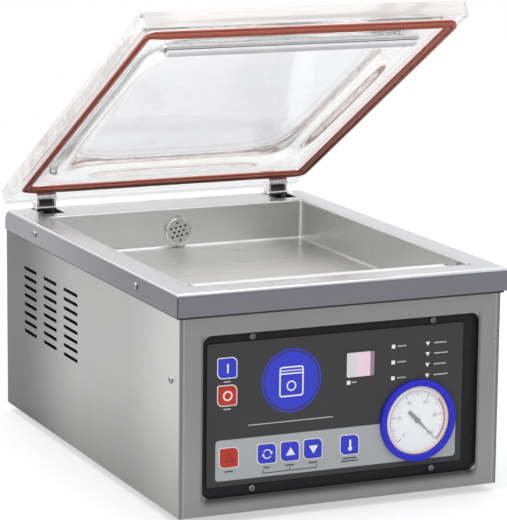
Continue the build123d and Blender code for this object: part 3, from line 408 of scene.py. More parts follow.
def rubber(name, base, rough, sheen, grain, bump, variation, scatter=0.0, lines=None):
    """Silicone or rubber: matt skin with a fine orange peel, a little bloom, and painted shade in
    a groove line and on the foot.

    lines: depth and half-width of a painted dark shade line below the lid's underside, then the
    depth where painted shade on the foot starts and the length over which it comes in, all in mm.
    """
    mat = new_material(name)
    peel = mat.noise(scale=grain, detail=4.0, roughness=0.6)
    drift = mat.noise(scale=55.0, detail=4.0, roughness=0.6, distortion=0.5)
    colour = mat.vary(base, drift, variation * 2)
    bloom = mat.noise(stretch=(90.0,) * 3, shift=(2.0, 8.0, 5.0), detail=5.0, roughness=0.7)
    bloom = bloom.ramp(0.52, 0.75, to=(0.0, 0.16))
    colour = mat.mix(bloom, colour, tuple(min(1.0, c * 1.7 + 0.04) for c in base))
    if lines:
        # painted shade: a dark line in the groove and a darker foot
        line_depth, line_half, foot_depth, foot_fade = lines
        depth = lid_frame(mat)[2]() * -1000.0
        line = abs(depth - line_depth).fade(line_half * 0.6, line_half, to=(1.0, 0.0))
        foot = depth.fade(foot_depth, foot_depth + foot_fade)
        colour = mat.mix(foot * 0.55, colour, mat.multiply(colour, (0.50, 0.50, 0.49)))
        colour = mat.mix(line * 0.95, colour, (0.10, 0.055, 0.055))
    mat.finish(mat.bsdf(
        Base_Color=colour, Roughness=rough + peel.swing(0.20),
        Normal=mat.bump(peel, bump, distance=0.0003), Sheen_Weight=sheen,
        Subsurface_Weight=scatter, Subsurface_Scale=0.004 if scatter else None))


def painted(name, base, rough):
    """Enamel on a casting: orange peel and faint casting texture."""
    mat = new_material(name)
    peel = mat.noise(scale=420.0, detail=4.0, roughness=0.65)
    drift = mat.noise(scale=25.0, detail=4.0, roughness=0.6, distortion=0.4)
    chips = mat.noise(scale=150.0, detail=5.0, roughness=0.7).ramp(0.70, 0.72)
    colour = mat.mix(chips * 0.5, mat.vary(base, drift, 0.3), (0.25, 0.24, 0.23))
    normal = mat.bump(peel, 0.25, distance=0.0006, normal=mat.bevel(0.0008))
    mat.finish(mat.bsdf(Base_Color=colour, Roughness=rough + peel.swing(0.2),
                        Normal=normal, Coat_Weight=0.2))


def lid_zones(mat):
    """Masks of the lid: roof of the hollow, the band round it, and the sheet's outer edge."""
    x, make_l, _ = lid_frame(mat)
    l = make_l()
    across = abs(x) / (HOLLOW_HALF * MM)
    along = abs(l - HOLLOW_MID * MM) / (HOLLOW_REACH * MM)
    reach = (across ** 5.0 + along ** 5.0) ** 0.2        # 1 at the hollow's outline
    roof = reach.fade(0.90, 0.80)
    band = reach.fade(0.84, 0.92) * reach.fade(1.02, 0.97)
    sides = abs(x).ramp((LID_HALF - 1.2) * MM, (LID_HALF - 0.4) * MM)
    ends = l.ramp(0.0012, 0.0004).max(
        l.ramp((LID_LENGTH - 1.2) * MM, (LID_LENGTH - 0.4) * MM))
    return roof, band, sides.max(ends)


def clear(name, tint, rough, ior, haze, wave, lid=False):
    """Cast acrylic or glass: faint haze and wipe marks; lamps shine straight through it."""
    mat = new_material(name)
    smears = mat.noise(scale=24.0, detail=4.0, roughness=0.6, distortion=0.8)
    grain = mat.noise(scale=300.0, detail=3.0, roughness=0.6)
    roughness = rough + smears.ramp(0.45, 0.75) * (rough * 1.5)
    height = mat.noise(scale=7.0, detail=2.0, roughness=0.5, distortion=0.2)
    cloudy = haze + smears.ramp(0.4, 0.8) * (haze * 0.8)
    if lid:
        streaks = mat.noise(stretch=(6.0, 5.0, 140.0), detail=4.0, roughness=0.6,
                            distortion=0.6)
        height = height + streaks * 0.05
        roof, band, edge = lid_zones(mat)
        # painted reflection: the roof of the hollow gets a blue-grey tint and the band round it a
        # warm white one, standing in for reflections seen there
        tint = mat.mix(roof, tint, (0.935, 0.942, 0.975))
        tint = mat.mix(band, tint, (0.985, 0.978, 0.955))
        bands = mat.noise(stretch=(3.0, 60.0, 60.0), shift=(2.0, 1.0, 0.0),
                          detail=3.0, roughness=0.6, distortion=0.5)
        frost = bands.ramp(0.35, 0.7, to=(0.80, 0.52))
        cloudy = mat.between(edge, cloudy + roof * 0.05, frost)
    normal = mat.bump(height, wave, distance=0.004)
    normal = mat.bump(grain, 0.01, normal=normal)
    body = mat.bsdf(Base_Color=tint, Roughness=roughness, IOR=ior, Transmission_Weight=1.0,
                    Normal=normal)
    milk = mat.blend(0.5, mat.bsdf(Base_Color=(0.90, 0.90, 0.89), Roughness=0.5),
                     mat.node("BsdfTranslucent", {"Color": (0.94, 0.93, 0.915)}))
    seen = mat.blend(cloudy, body, milk)
    ray = mat.node("LightPath")
    lit_through = ray.out("Is Shadow Ray").max(ray.out("Is Diffuse Ray"))
    through = mat.node("BsdfTransparent", {"Color": (0.93, 0.94, 0.95)})
    mat.finish(mat.blend(lit_through, seen, through))


def ptfe_cloth():
    """Glass cloth coated with PTFE: a fine plain weave under a waxy skin."""
    mat = new_material("ptfe_cloth")
    base = (0.62, 0.61, 0.59)
    turns = 2 * math.pi / 0.0007        # thread pitch 0.7 mm
    x, y, z = mat.xyz()
    threads = mat.math("SINE", x * turns) * mat.math("SINE", (y + z) * turns)
    drift = mat.noise(scale=80.0, detail=4.0, roughness=0.6, distortion=0.4)
    colour = mat.dim(base, 1.0 + (threads * 0.07 + drift.swing(0.3)))
    scorch = mat.noise(stretch=(30.0, 200.0, 200.0), detail=3.0)
    scorch = scorch.ramp(0.55, 0.8, to=(0.0, 0.4))
    colour = mat.mix(scorch, colour, tuple(c * 0.55 for c in base))
    mat.finish(mat.bsdf(Base_Color=colour, Roughness=0.45, Normal=mat.bump(threads, 0.25),
                        Coat_Weight=0.3, Coat_Roughness=0.3))


def circuit_board():
    """Solder mask with tracks and pads."""
    mat = new_material("circuit_board_green")
    cells = mat.node("TexVoronoi", {"Vector": mat.stretched((160.0,) * 3), "Scale": 1.0})
    tracks = mat.noise(stretch=(60.0, 10.0, 300.0), detail=0.0)
    tracks = abs(tracks - 0.5).ramp(0.0, 0.05, to=(1.0, 0.0))
    pads = cells.ramp(0.10, 0.14, to=(1.0, 0.0))
    colour = mat.mix(tracks, (0.02, 0.16, 0.06), (0.05, 0.30, 0.12))
    colour = mat.mix(pads, colour, (0.62, 0.60, 0.55))
    mat.finish(mat.bsdf(Base_Color=colour, Roughness=0.35, Metallic=pads * 0.8,
                        Normal=mat.bump(tracks, 0.2)))


def copper_windings():
    """Turns of copper wire, 0.9 mm apart up the z axis."""
    mat = new_material("copper_windings")
    turns = mat.math("SINE", mat.xyz()[2] * (2 * math.pi / 0.0009))
    colour = mat.mix(mat.noise(scale=120.0, detail=3.0), (0.42, 0.16, 0.07), (0.75, 0.36, 0.18))
    mat.finish(mat.bsdf(Base_Color=colour, Metallic=0.85, Roughness=0.32,
                        Normal=mat.bump(turns, 0.6, distance=0.0004)))


# ---------------------------------------------------------------------------
# the materials
# ---------------------------------------------------------------------------
PANEL = (0.60, 0.60, 0.585)
brushed("steel_side_panel", PANEL, rough=0.33, axis="Y", cloud=0.09, shading=shade_side_panel)
brushed("steel_right_panel", PANEL, rough=0.33, axis="Y", cloud=0.09)
brushed("steel_window_panel", (0.58, 0.58, 0.58), rough=0.34, streak=0.06, cloud=0.15,
        shading=shade_window_panel)
brushed("steel_front_panel", (0.56, 0.56, 0.555), rough=0.34, streak=0.06, cloud=0.07)
brushed("steel_deck", (0.66, 0.66, 0.67), rough=0.22, aniso=0.55, bump=0.04,
        shading=shade_deck)
brushed("steel_tub", (0.78, 0.78, 0.77), rough=0.30, aniso=0.4, edge=0.0006, bump=0.04,
        shading=shade_tub)
brushed("extruded_aluminium", (0.74, 0.74, 0.75), rough=0.26, streak=0.08, cloud=0.04,
        aniso=0.5, edge=0.0003, bump=0.10)

# name: colour, roughness, roughness spread, mottling, edge radius (m)
PLATED = {
    "zinc_sheet": ((0.55, 0.56, 0.56), 0.32, 0.14, 0.14, 0.0004),
    "polished_steel": ((0.74, 0.74, 0.76), 0.10, 0.05, 0.05, 0.0005),
    "pressed_arm_steel": ((0.93, 0.93, 0.935), 0.27, 0.05, 0.04, 0.0006),
    "recess_screws": ((0.30, 0.30, 0.31), 0.34, 0.10, 0.10, 0.0002),
    "zinc_fasteners": ((0.48, 0.48, 0.49), 0.30, 0.10, 0.10, 0.0002),
    "pressed_cover_steel": ((0.66, 0.65, 0.62), 0.25, 0.08, 0.06, 0.0003),
    "turned_brass": ((0.70, 0.55, 0.26), 0.24, 0.10, 0.12, 0.0004),
    "heating_alloy_strip": ((0.42, 0.40, 0.38), 0.38, 0.12, 0.2, 0.0004),
}
for name, row in PLATED.items():
    plated(name, *row)

clear("cast_acrylic", (0.985, 0.988, 0.992), rough=0.03, ior=1.49, haze=0.06, wave=0.05,
      lid=True)
clear("gauge_cover_glass", (0.98, 0.98, 0.98), rough=0.01, ior=1.5, haze=0.01, wave=0.0)

# name: colour, roughness, sheen, grain scale, bump, variation, scatter, painted groove and foot
# shade
RUBBERS = {
    "red_silicone_gasket": ((0.36, 0.080, 0.045), 0.30, 0.0, 900.0, 0.08, 0.12, 0.0,
                            (2.72, 0.45, 5.0, 0.8)),
    "white_silicone_strip": ((0.78, 0.78, 0.77), 0.42, 0.05, 800.0, 0.10, 0.05, 0.25),
    "white_silicone_bead": ((0.80, 0.80, 0.815), 0.30, 0.05, 800.0, 0.10, 0.05, 0.1,
                            (4.25, 0.55, 7.6, 0.5)),
    "translucent_hose": ((0.62, 0.62, 0.60), 0.38, 0.05, 500.0, 0.10, 0.08, 0.3),
    "black_rubber": ((0.022, 0.022, 0.023), 0.62, 0.2, 500.0, 0.25, 0.2),
    "bladder_silicone": ((0.55, 0.53, 0.50), 0.5, 0.1, 500.0, 0.15, 0.1, 0.2),
    "hinge_window_shade_rubber": ((0.085, 0.058, 0.060), 0.42, 0.15, 700.0, 0.15, 0.15),
}
for name, row in RUBBERS.items():
    rubber(name, *row)

# name: colour, roughness, grain scale, bump, variation, coat, edge radius (m)
PLASTICS = {
    "black_housing": ((0.016, 0.016, 0.019), 0.40, 900.0, 0.15, 0.15),
    "recess_plate_film": ((0.004, 0.004, 0.006), 0.55, 700.0, 0.10, 0.15),
    "label_film_grey": ((0.036, 0.036, 0.037), 0.50, 1200.0, 0.06, 0.06),
    "blue_key_cap": ((0.016, 0.028, 0.52), 0.34, 1000.0, 0.05, 0.05, 0.05),
    "red_key_cap": ((0.46, 0.018, 0.004), 0.30, 1000.0, 0.05, 0.05, 0.15),
    "blue_gauge_ring": ((0.006, 0.007, 0.50), 0.42, 1000.0, 0.04, 0.05, 0.0, 0.0),
    "white_moulding": ((0.76, 0.755, 0.74), 0.35, 900.0, 0.06, 0.04, 0.1),
    "display_filter": (display_colour, 0.16, 1500.0, 0.02, 0.05, 0.4),
    "gauge_inner_ring_cream": ((0.80, 0.64, 0.57), 0.5, 900.0, 0.05, 0.05),
    "dial_enamel": ((0.95, 0.94, 0.93), 0.45, 1200.0, 0.04, 0.03),
}
for name, row in PLASTICS.items():
    plastic(name, *row)

# name: colour, roughness, variation
INKS = {
    "print_white": ((0.72, 0.72, 0.72), 0.5, 0.03),
    "print_grey": ((0.36, 0.37, 0.375), 0.45, 0.05),
    "print_dark": ((0.03, 0.03, 0.035), 0.5, 0.05),
    "print_blue": ((0.018, 0.03, 0.52), 0.45, 0.05),
    "dial_ink_grey": ((0.34, 0.33, 0.34), 0.5, 0.05),
    "dial_ink_red": ((0.62, 0.16, 0.13), 0.5, 0.05),
    "print_soft_white": ((0.42, 0.42, 0.43), 0.5, 0.05),
}
for name, (colour, rough, variation) in INKS.items():
    plastic(name, colour, rough, grain=1500.0, bump=0.05, variation=variation, edge=0.0)

painted("needle_enamel", (0.26, 0.26, 0.27), rough=0.35)
painted("cast_enamel", (0.10, 0.13, 0.17), rough=0.40)
painted("motor_enamel", (0.13, 0.15, 0.18), rough=0.38)
circuit_board()
copper_windings()
ptfe_cloth()

# material: the CAD nodes that wear it
NODES_BY_MATERIAL = {
    "zinc_sheet": "base_plate hinge_shaft hinge_bearings lid_lift_springs gauge_case "
                  "motor_rotor transformer_core",
    "steel_side_panel": "left_side_panel",
    "steel_right_panel": "right_side_panel",
    "steel_front_panel": "rear_panel",
    "steel_window_panel": "front_panel",
    "steel_deck": "deck_cover",
    "steel_tub": "vacuum_chamber",
    "pressed_cover_steel": "suction_port_cover",
    "turned_brass": "suction_elbow oil_sight_glass",
    "extruded_aluminium": "seal_bar counter_bar_holder",
    "heating_alloy_strip": "heating_wire",
    "ptfe_cloth": "seal_tape",
    "polished_steel": "seal_bar_terminals",
    "white_moulding": "seal_bar_sockets indicator_lenses",
    "bladder_silicone": "lift_bladder",
    "cast_acrylic": "lid_window",
    "red_silicone_gasket": "lid_gasket",
    "white_silicone_strip": "counter_bar_strip",
    "zinc_fasteners": "lid_screws casing_screws",
    "pressed_arm_steel": "left_hinge_arm right_hinge_arm",
    "black_housing": "lid_switch lid_switch_plunger tact_switches oil_filler_plug fan_cowl "
                     "solenoid_valves power_inlet",
    "recess_plate_film": "control_bezel",
    "label_film_grey": "label_plate",
    "recess_screws": "bezel_screws",
    "blue_key_cap": "key_on key_set key_up key_down key_temperature",
    "red_key_cap": "key_off key_stop",
    "display_filter": "display_window",
    "circuit_board_green": "control_board",
    "blue_gauge_ring": "gauge_bezel_ring",
    "dial_enamel": "gauge_dial",
    "gauge_cover_glass": "gauge_glass",
    "needle_enamel": "gauge_needle",
    "cast_enamel": "pump_body exhaust_filter",
    "motor_enamel": "pump_motor",
    "copper_windings": "transformer_windings",
    "translucent_hose": "suction_hose",
    "black_rubber": "rubber_feet",
}
MATERIAL_OF = {node: material for material, nodes in NODES_BY_MATERIAL.items()
               for node in nodes.split()}
for name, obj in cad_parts.items():
    material = MATERIALS[MATERIAL_OF[name]]
    if not obj.material_slots:
        obj.data.materials.append(material)
    for slot in obj.material_slots:
        slot.material = material


# ---------------------------------------------------------------------------
# mesh helpers
# ---------------------------------------------------------------------------
def build(name, shape, material, body, crease=None):
    """An object from (verts, faces) in mm, riding a body; shaded smooth up to crease degrees."""
    verts, faces = shape
    mesh = bpy.data.meshes.new(name)
    mesh.from_pydata([tuple(c * MM for c in vert) for vert in verts], [], faces)
    bm = bmesh.new()
    bm.from_mesh(mesh)
    bmesh.ops.remove_doubles(bm, verts=bm.verts, dist=1e-7)
    bmesh.ops.dissolve_degenerate(bm, edges=bm.edges, dist=1e-8)
    bmesh.ops.recalc_face_normals(bm, faces=bm.faces)
    bm.to_mesh(mesh)
    bm.free()
    mesh.materials.append(MATERIALS[material])
    for face in mesh.polygons:
        face.use_smooth = crease is not None
    if crease is not None:
        mesh.set_sharp_from_angle(angle=math.radians(crease))
    obj = bpy.data.objects.new(name, mesh)
    bpy.context.scene.collection.objects.link(obj)
    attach(obj, body)
    return obj


def bridge(rings):
    """Faces between closed rings of equal length."""
    verts = [point for ring in rings for point in ring]
    size = len(rings[0])
    faces = []
    for a in range(0, (len(rings) - 1) * size, size):
        b = a + size
        for i in range(size):
            j = (i + 1) % size
            faces.append((a + i, a + j, b + j, b + i))
    return verts, faces


def bridge_capped(rings):
    verts, faces = bridge(rings)
    size = len(rings[0])
    faces.append(tuple(range(size)))
    faces.append(tuple(range(len(verts) - size, len(verts))))
    return verts, faces


def rounded_outline(half, l0, l1, radius, corner_parts=10, width_parts=24, length_parts=36):
    """Rounded rectangle, x in -half..half and l in l0..l1, its straight sides divided too."""
    corners = [(half - radius, l1 - radius, 0), (-half + radius, l1 - radius, 90),
               (-half + radius, l0 + radius, 180), (half - radius, l0 + radius, 270)]
    points = []
    for k, (x, l, start) in enumerate(corners):
        points += arc(x, l, radius, corner_parts, start, start + 90)
        x1, l1_next, angle = corners[(k + 1) % 4]
        angle = math.radians(angle)
        x0, l0_here = points[-1]
        x1 += radius * math.cos(angle)
        l1_next += radius * math.sin(angle)
        parts = width_parts if k % 2 == 0 else length_parts
        for i in range(1, parts):
            t = i / parts
            points.append((x0 + (x1 - x0) * t, l0_here + (l1_next - l0_here) * t))
    return points


def arc(x, z, radius, parts, start, end):
    """Points on a circle from start to end, in degrees, both ends kept."""
    angles = [math.radians(start + (end - start) * i / parts) for i in range(parts + 1)]
    return [(x + radius * math.cos(a), z + radius * math.sin(a)) for a in angles]


def mirrored(half, middle=()):
    """A profile from its right half, running left to right."""
    return [(-a, b) for a, b in half] + list(middle) + half[::-1]


def smooth_step(t):
    t = min(1.0, max(0.0, t))
    return t * t * (3 - 2 * t)


def on_lid(x, l, n):
    return (x, LID_Y - l * LID_COS + n * LID_SIN, LID_Z + l * LID_SIN + n * LID_COS)


def gasket_outline(offset, radius, *parts):
    """Outline this far outside the gasket's centre line."""
    return rounded_outline(GASKET_HALF + offset, GASKET_L0 - offset, GASKET_L1 + offset,
                           radius, *parts)


def squash_under_lid(obj, l):
    """Gives the piece its own copy of its mesh."""
    [c * MM for c in on_lid(0.0, l, 0.0)]
    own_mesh(obj)


def sweep_x(profile, x0, x1, cap, place, parts):
    """A closed profile of (a, b) points swept along x, its ends rounded off over cap.

    place maps (x, a, b) to a point.
    """
    mid_a = sum(a for a, _ in profile) / len(profile)
    mid_b = sum(b for _, b in profile) / len(profile)
    start = [(x0 + cap * (1 - math.sin(math.pi / 2 * (5 - i) / 5)),
              0.65 + 0.35 * math.sin(math.pi / 2 * i / 5)) for i in range(6)]
    middle = [(x0 + cap + (x1 - x0 - 2 * cap) * i / parts, 1.0) for i in range(1, parts)]
    end = [(x0 + x1 - x, size) for x, size in start[::-1]]
    return bridge_capped([
        [place(x, mid_a + (a - mid_a) * size, mid_b + (b - mid_b) * size) for a, b in profile]
        for x, size in start + middle + end])


# ---------------------------------------------------------------------------
# lid: thick clear acrylic with a raised crown and a blown hollow
# ---------------------------------------------------------------------------
HOLLOW_HEIGHT, HOLLOW_SLOPE, HOLLOW_BULGE, HOLLOW_POWER = 12.0, 0.13, 1.5, 5.5
HOLLOW_STEPS = (0.04, 0.25, 0.5, 0.70, 0.80, 0.86, 0.90, 0.935, 0.96, 0.98, 0.995, 1.0)
GROOVE_HALF, GROOVE_DEPTH = 3.5, 3.9
CROWN_HALF, CROWN_L0, CROWN_L1, CROWN_R, CROWN_RISE = 139.0, 50.0, 392.0, 36.0, 7.0
# (distance in from the crown's foot, height over the sheet)
CROWN_EDGE = ((-1.0, 0.0), (1.0, 0.35), (3.0, 2.0), (5.0, 4.4), (7.0, 6.2), (9.5, 6.9),
              (13.0, 7.0))
# (distance in from the sheet's edge, height), from the underside round to the top
SHEET_EDGE = ((1.2, 0.0), (0.35, 0.25), (0.0, 0.9), (0.0, 4.0), (0.0, 8.0), (0.0, 12.0),
              (0.0, LID_THICK - 1.2), (0.35, LID_THICK - 0.4), (1.3, LID_THICK),
              (8.0, LID_THICK))


def hollow_ring(step, core):
    """Superellipse at this share of the hollow's outline, points at the bearings of core's."""
    half, reach = HOLLOW_HALF * step, HOLLOW_REACH * step
    rise = HOLLOW_HEIGHT * smooth_step((1.0 - step) / HOLLOW_SLOPE)
    rise += HOLLOW_BULGE * max(0.0, 1 - (step / 0.9) ** 2)
    ring = []
    for x, l in core:
        size = (abs(x / half) ** HOLLOW_POWER
                + abs((l - HOLLOW_MID) / reach) ** HOLLOW_POWER) ** (1 / HOLLOW_POWER)
        ring.append(on_lid(x / size, HOLLOW_MID + (l - HOLLOW_MID) / size, rise))
    return ring


def lid_shape():
    """Rings from the middle of the underside, out round the edge, to the middle of the top."""
    def raised(outline, n):
        return [on_lid(x, l, n) for x, l in outline]

    core = rounded_outline(HOLLOW_HALF, HOLLOW_L0, HOLLOW_L1, 34)
    rings = [hollow_ring(step, core) for step in HOLLOW_STEPS]
    # groove for the gasket
    inner_r, outer_r = GASKET_R - GROOVE_HALF, GASKET_R + GROOVE_HALF
    rings += [raised(gasket_outline(offset, radius), n) for offset, radius, n in (
        (-GROOVE_HALF - 0.1, inner_r, 0.0), (-GROOVE_HALF, inner_r, GROOVE_DEPTH),
        (GROOVE_HALF, outer_r, GROOVE_DEPTH), (GROOVE_HALF, outer_r, 0.0))]
    rings += [raised(rounded_outline(LID_HALF - inset, inset, LID_LENGTH - inset,
                                     max(5.0 - inset, 3.0)), n) for inset, n in SHEET_EDGE]
    rings += [raised(rounded_outline(CROWN_HALF - inset, CROWN_L0 + inset, CROWN_L1 - inset,
                                     CROWN_R - inset * 0.5), LID_THICK + rise)
              for inset, rise in CROWN_EDGE]
    top_inset = CROWN_EDGE[-1][0]
    middle = (CROWN_L0 + CROWN_L1) / 2
    reach = (CROWN_L1 - CROWN_L0) / 2 - top_inset
    for step in (0.8, 0.55, 0.3, 0.04):
        outline = rounded_outline((CROWN_HALF - top_inset) * step, middle - reach * step,
                                  middle + reach * step, (CROWN_R - top_inset * 0.5) * step)
        rings.append(raised(outline, LID_THICK + CROWN_RISE + 0.8 * (1 - step)))
    return bridge_capped(rings)


lid = build("lid_acrylic", lid_shape(), "cast_acrylic", "lid", crease=40.0)
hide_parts("lid_window")

# ---------------------------------------------------------------------------
# lid gasket: swept silicone profile with two ribs
# ---------------------------------------------------------------------------
# (across from the centre line, n), outer half from the top down
GASKET_SIDE = [
    (3.35, 3.6), (3.35, 0.25), (3.9, 0.05), (4.45, -0.5), (4.7, -1.2), (4.62, -1.9),
    (4.2, -2.4), (3.75, -2.6), (3.75, -2.85), (4.2, -3.1), (4.6, -3.6), (4.7, -4.4),
    (4.4, -5.1), (3.8, -5.5), (3.0, -5.65), (2.2, -5.35), (1.6, -4.6), (1.2, -3.7),
    (0.65, -3.1),
]


def gasket_shape():
    """The part below the sheet ripples a little, and leans and flattens along the left side."""
    rings = []
    for offset, n in mirrored(GASKET_SIDE, middle=[(0.0, -2.9)]):
        hangs = n < 0
        if hangs:
            n *= 0.9
        ring = []
        for x, l in gasket_outline(offset, GASKET_R + offset, 12, 60, 80):
            ripple = 0.05 * math.sin(x * 0.043 + l * 0.031) + 0.03 * math.sin(x * 0.11 - l * 0.07)
            lean = smooth_step((-x - GASKET_HALF + 14.0) / 12.0) if hangs else 0.0
            leaning_x = -GASKET_HALF + (x + GASKET_HALF) * (1 - 0.22 * lean) + 0.75 * n * lean
            ring.append(on_lid(leaning_x, l, n * (1 - 0.28 * lean) + (ripple if hangs else 0.0)))
        rings.append(ring)
    return bridge(rings + rings[:1])


gasket = build("lid_gasket_ribbed", gasket_shape(), "red_silicone_gasket", "lid",
               crease=60.0)
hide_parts("lid_gasket")
squash_under_lid(gasket, LID_LENGTH / 2)

# ---------------------------------------------------------------------------
# dark strip in the gap between the deck skirt and the cabinet, sides and front: painted shade
# standing in for the shadow in that gap
# ---------------------------------------------------------------------------
GAP_SHADE_X, GAP_SHADE_FRONT, GAP_SHADE_REAR, GAP_SHADE_R = 159.7, -230.5, 219.0, 3.0    # corner centres, radius
GAP_SHADE_Z = DECK_Z - 21.4
# (depth in from the outer face, height)
GAP_SHADE_PROFILE = ((0.0, 1.6), (0.0, -1.9), (0.35, -2.3), (2.2, -2.35), (2.5, -2.0), (2.5, 1.6))


def gap_shade_shape():
    length = GAP_SHADE_REAR - GAP_SHADE_FRONT
    # stations: centre x, y and the bearing of the outer face, left side, front, right side
    stations = [(-GAP_SHADE_X, GAP_SHADE_REAR - length * i / 40, 180) for i in range(41)]
    stations += [(-GAP_SHADE_X, GAP_SHADE_FRONT, 180 + 90 * i / 8) for i in range(1, 8)]
    stations += [(-GAP_SHADE_X + 2 * GAP_SHADE_X * i / 30, GAP_SHADE_FRONT, 270) for i in range(31)]
    stations += [(GAP_SHADE_X, GAP_SHADE_FRONT, 270 + 90 * i / 8) for i in range(1, 8)]
    stations += [(GAP_SHADE_X, GAP_SHADE_FRONT + length * i / 40, 360) for i in range(41)]
    rings = []
    for x, y, bearing in stations:
        cos, sin = math.cos(math.radians(bearing)), math.sin(math.radians(bearing))
        # the strip is a little thinner along the sides than along the front
        rings.append([(x + (GAP_SHADE_R - depth * 0.96) * cos, y + (GAP_SHADE_R - depth * 1.26) * sin,
                       GAP_SHADE_Z + height) for depth, height in GAP_SHADE_PROFILE])
    return bridge_capped(rings)


# painted shade: this dark strip shows as the shadow line under the deck skirt
build("deck_gap_shade_strip", gap_shade_shape(), "black_rubber", "cabinet", crease=40.0)


# ---------------------------------------------------------------------------
# dark sheets behind the windows of the two hinge arms, painted shade standing in for the dark
# inside of each window
# ---------------------------------------------------------------------------
def arm_window_shade(side, x):
    shade_sheet_y, shade_sheet_z, height, thick = 198.9, DECK_Z + 0.9, 12.6, 1.3
    half = ARM_WIDTH / 2 - 2.4
    front = [(shade_sheet_y + 0.9 * math.sin(math.pi * i / 10) ** 2 - 0.5 * math.cos(math.pi * i / 5),
              shade_sheet_z + height * i / 10) for i in range(11)]
    rear = [(y + thick, z) for y, z in front]
    shape = sweep_x(front + rear[::-1], x - half, x + half, cap=0.6,
                    place=lambda x, y, z: (x, y, z), parts=24)
    # painted shade: a dark sheet filling each arm's window
    build(side + "_arm_pad", shape, "hinge_window_shade_rubber", "lid", crease=45.0)


arm_window_shade("left", -ARM_X)
arm_window_shade("right", ARM_X)

# ---------------------------------------------------------------------------
# counter bar strip: a crowned silicone bead with a groove along each side; its material paints
# shade into the groove and along the foot
# ---------------------------------------------------------------------------
# (across from the bar's centre line, n), one half from the top down
BEAD_SIDE = [
    (3.3, -1.3), (4.6, -1.5), (5.1, -2.2), (5.15, -3.1), (4.7, -3.7), (3.9, -3.95),
    (3.9, -4.45), (4.6, -4.7), (5.3, -5.4), (5.5, -6.3), (5.1, -7.2), (4.1, -7.9),
    (2.6, -8.25), (1.3, -8.2), (0.6, -8.35),
]
bead_half = COUNTER_BAR_HALF - 3.3
bead = build("counter_bar_bead",
             sweep_x(mirrored(BEAD_SIDE), -bead_half, bead_half, cap=2.4,
                     place=lambda x, l, n: on_lid(x, COUNTER_BAR_L + l, n), parts=60),
             "white_silicone_bead", "lid", crease=50.0)
squash_under_lid(bead, COUNTER_BAR_L)
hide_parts("counter_bar_strip")

# ---------------------------------------------------------------------------
# PTFE cloth over the seal bar: a thin folded sheet with soft edges
# ---------------------------------------------------------------------------
# (across, down from the top), one half from the hem up
CLOTH_SIDE = [(6.0, -7.0), (6.02, -5.0), (6.0, -2.0), (5.85, -0.75), (5.3, -0.15), (4.0, 0.0),
              (1.8, -0.02)]


def seal_bar_cloth():
    low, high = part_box("seal_tape")
    mid_y, top = (low.y + high.y) / 2 / MM, high.z / MM

    def place(x, a, b):
        wrinkle = 0.04 * math.sin(x * 0.21) if abs(a) > 5.9 else 0
        return (x, mid_y + a, top + b + wrinkle)

    outer = mirrored(CLOTH_SIDE, middle=[(0, 0.0)])
    inner = [(a * 0.95, b - 0.28 if abs(a) < 5.5 else b) for a, b in outer]
    shape = sweep_x(outer + inner[::-1], low.x / MM, high.x / MM, cap=0.05, place=place,
                    parts=90)
    cloth = build("seal_bar_cloth", shape, "ptfe_cloth", "seal_bar", crease=60.0)
    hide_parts("seal_tape")


seal_bar_cloth()


# ---------------------------------------------------------------------------
# lift bladder: a pillow under the bar
# ---------------------------------------------------------------------------
def lift_bladder():
    low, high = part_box("lift_bladder")
    mid_y = (low.y + high.y) / 2 / MM
    bottom, top = DECK_Z - 39.6 + 0.15, high.z / MM
    mid_z, half_width, half_height = (bottom + top) / 2, 6.9, (top - bottom) / 2

    def squared(value):
        return math.copysign(abs(value) ** 0.6, value)

    def place(x, a, b):
        wave = math.sin(x * 0.35)
        return (x, mid_y + a * (1 + 0.015 * wave), mid_z + b * (1 - 0.02 * (1 + wave)))

    angles = [2 * math.pi * i / 28 for i in range(28)]
    profile = [(half_width * squared(math.cos(a)), half_height * squared(math.sin(a)))
               for a in angles]
    shape = sweep_x(profile, low.x / MM + 0.5, high.x / MM - 0.5, cap=6.0, place=place,
                    parts=70)
    pillow = build("lift_bladder_pillow", shape, "bladder_silicone", "cabinet",
                   crease=60.0)
    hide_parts("lift_bladder")


lift_bladder()


# ---------------------------------------------------------------------------
# print helpers; a shape is [outer loop, hole, hole...] of (right, up) points
# ---------------------------------------------------------------------------
INK = 0.04
OVER_LABEL = LABEL_Y - INK      # face of a first layer of print


def print_flat(name, shapes, material, y=LABEL_Y, thick=INK, body="cabinet",
               slot="label_film", centre=LABEL_CENTRE):
    """Thin raised print, standing forward from y."""
    verts, faces = [], []
    for loops in shapes:
        vectors = [[Vector((right, up, 0.0)) for right, up in loop] for loop in loops]
        points = [point for loop in vectors for point in loop]
        first, back = len(verts), len(verts) + len(points)
        for face_y in (y - thick, y):
            verts += [(centre[0] + p.x, face_y, centre[1] + p.y) for p in points]
        for triangle in tessellate_polygon(vectors):
            faces.append(tuple(first + i for i in triangle))
            faces.append(tuple(back + i for i in reversed(triangle)))
        start = 0
        for loop in vectors:
            for i in range(len(loop)):
                a, b = start + i, start + (i + 1) % len(loop)
                faces.append((first + a, first + b, back + b, back + a))
            start += len(loop)
    build(name, (verts, faces), material, body)


def circle(x, z, radius, parts):
    return arc(x, z, radius, parts, 0, 360)[:-1]


def arc_band(x, z, inner, outer, start, end, parts):
    return arc(x, z, outer, parts, start, end) + arc(x, z, inner, parts, start, end)[::-1]


def rounded_rect(x, z, width, height, radii, parts=6):
    """radii: one radius, or four from the upper right corner anticlockwise."""
    if not isinstance(radii, tuple):
        radii = (radii,) * 4
    loop = []
    for k, (side, end) in enumerate(((1, 1), (-1, 1), (-1, -1), (1, -1))):
        radius = radii[k]
        loop += arc(x + side * width / 2 - side * radius, z + end * height / 2 - end * radius,
                    radius, parts, 90 * k, 90 * k + 90)
    return loop


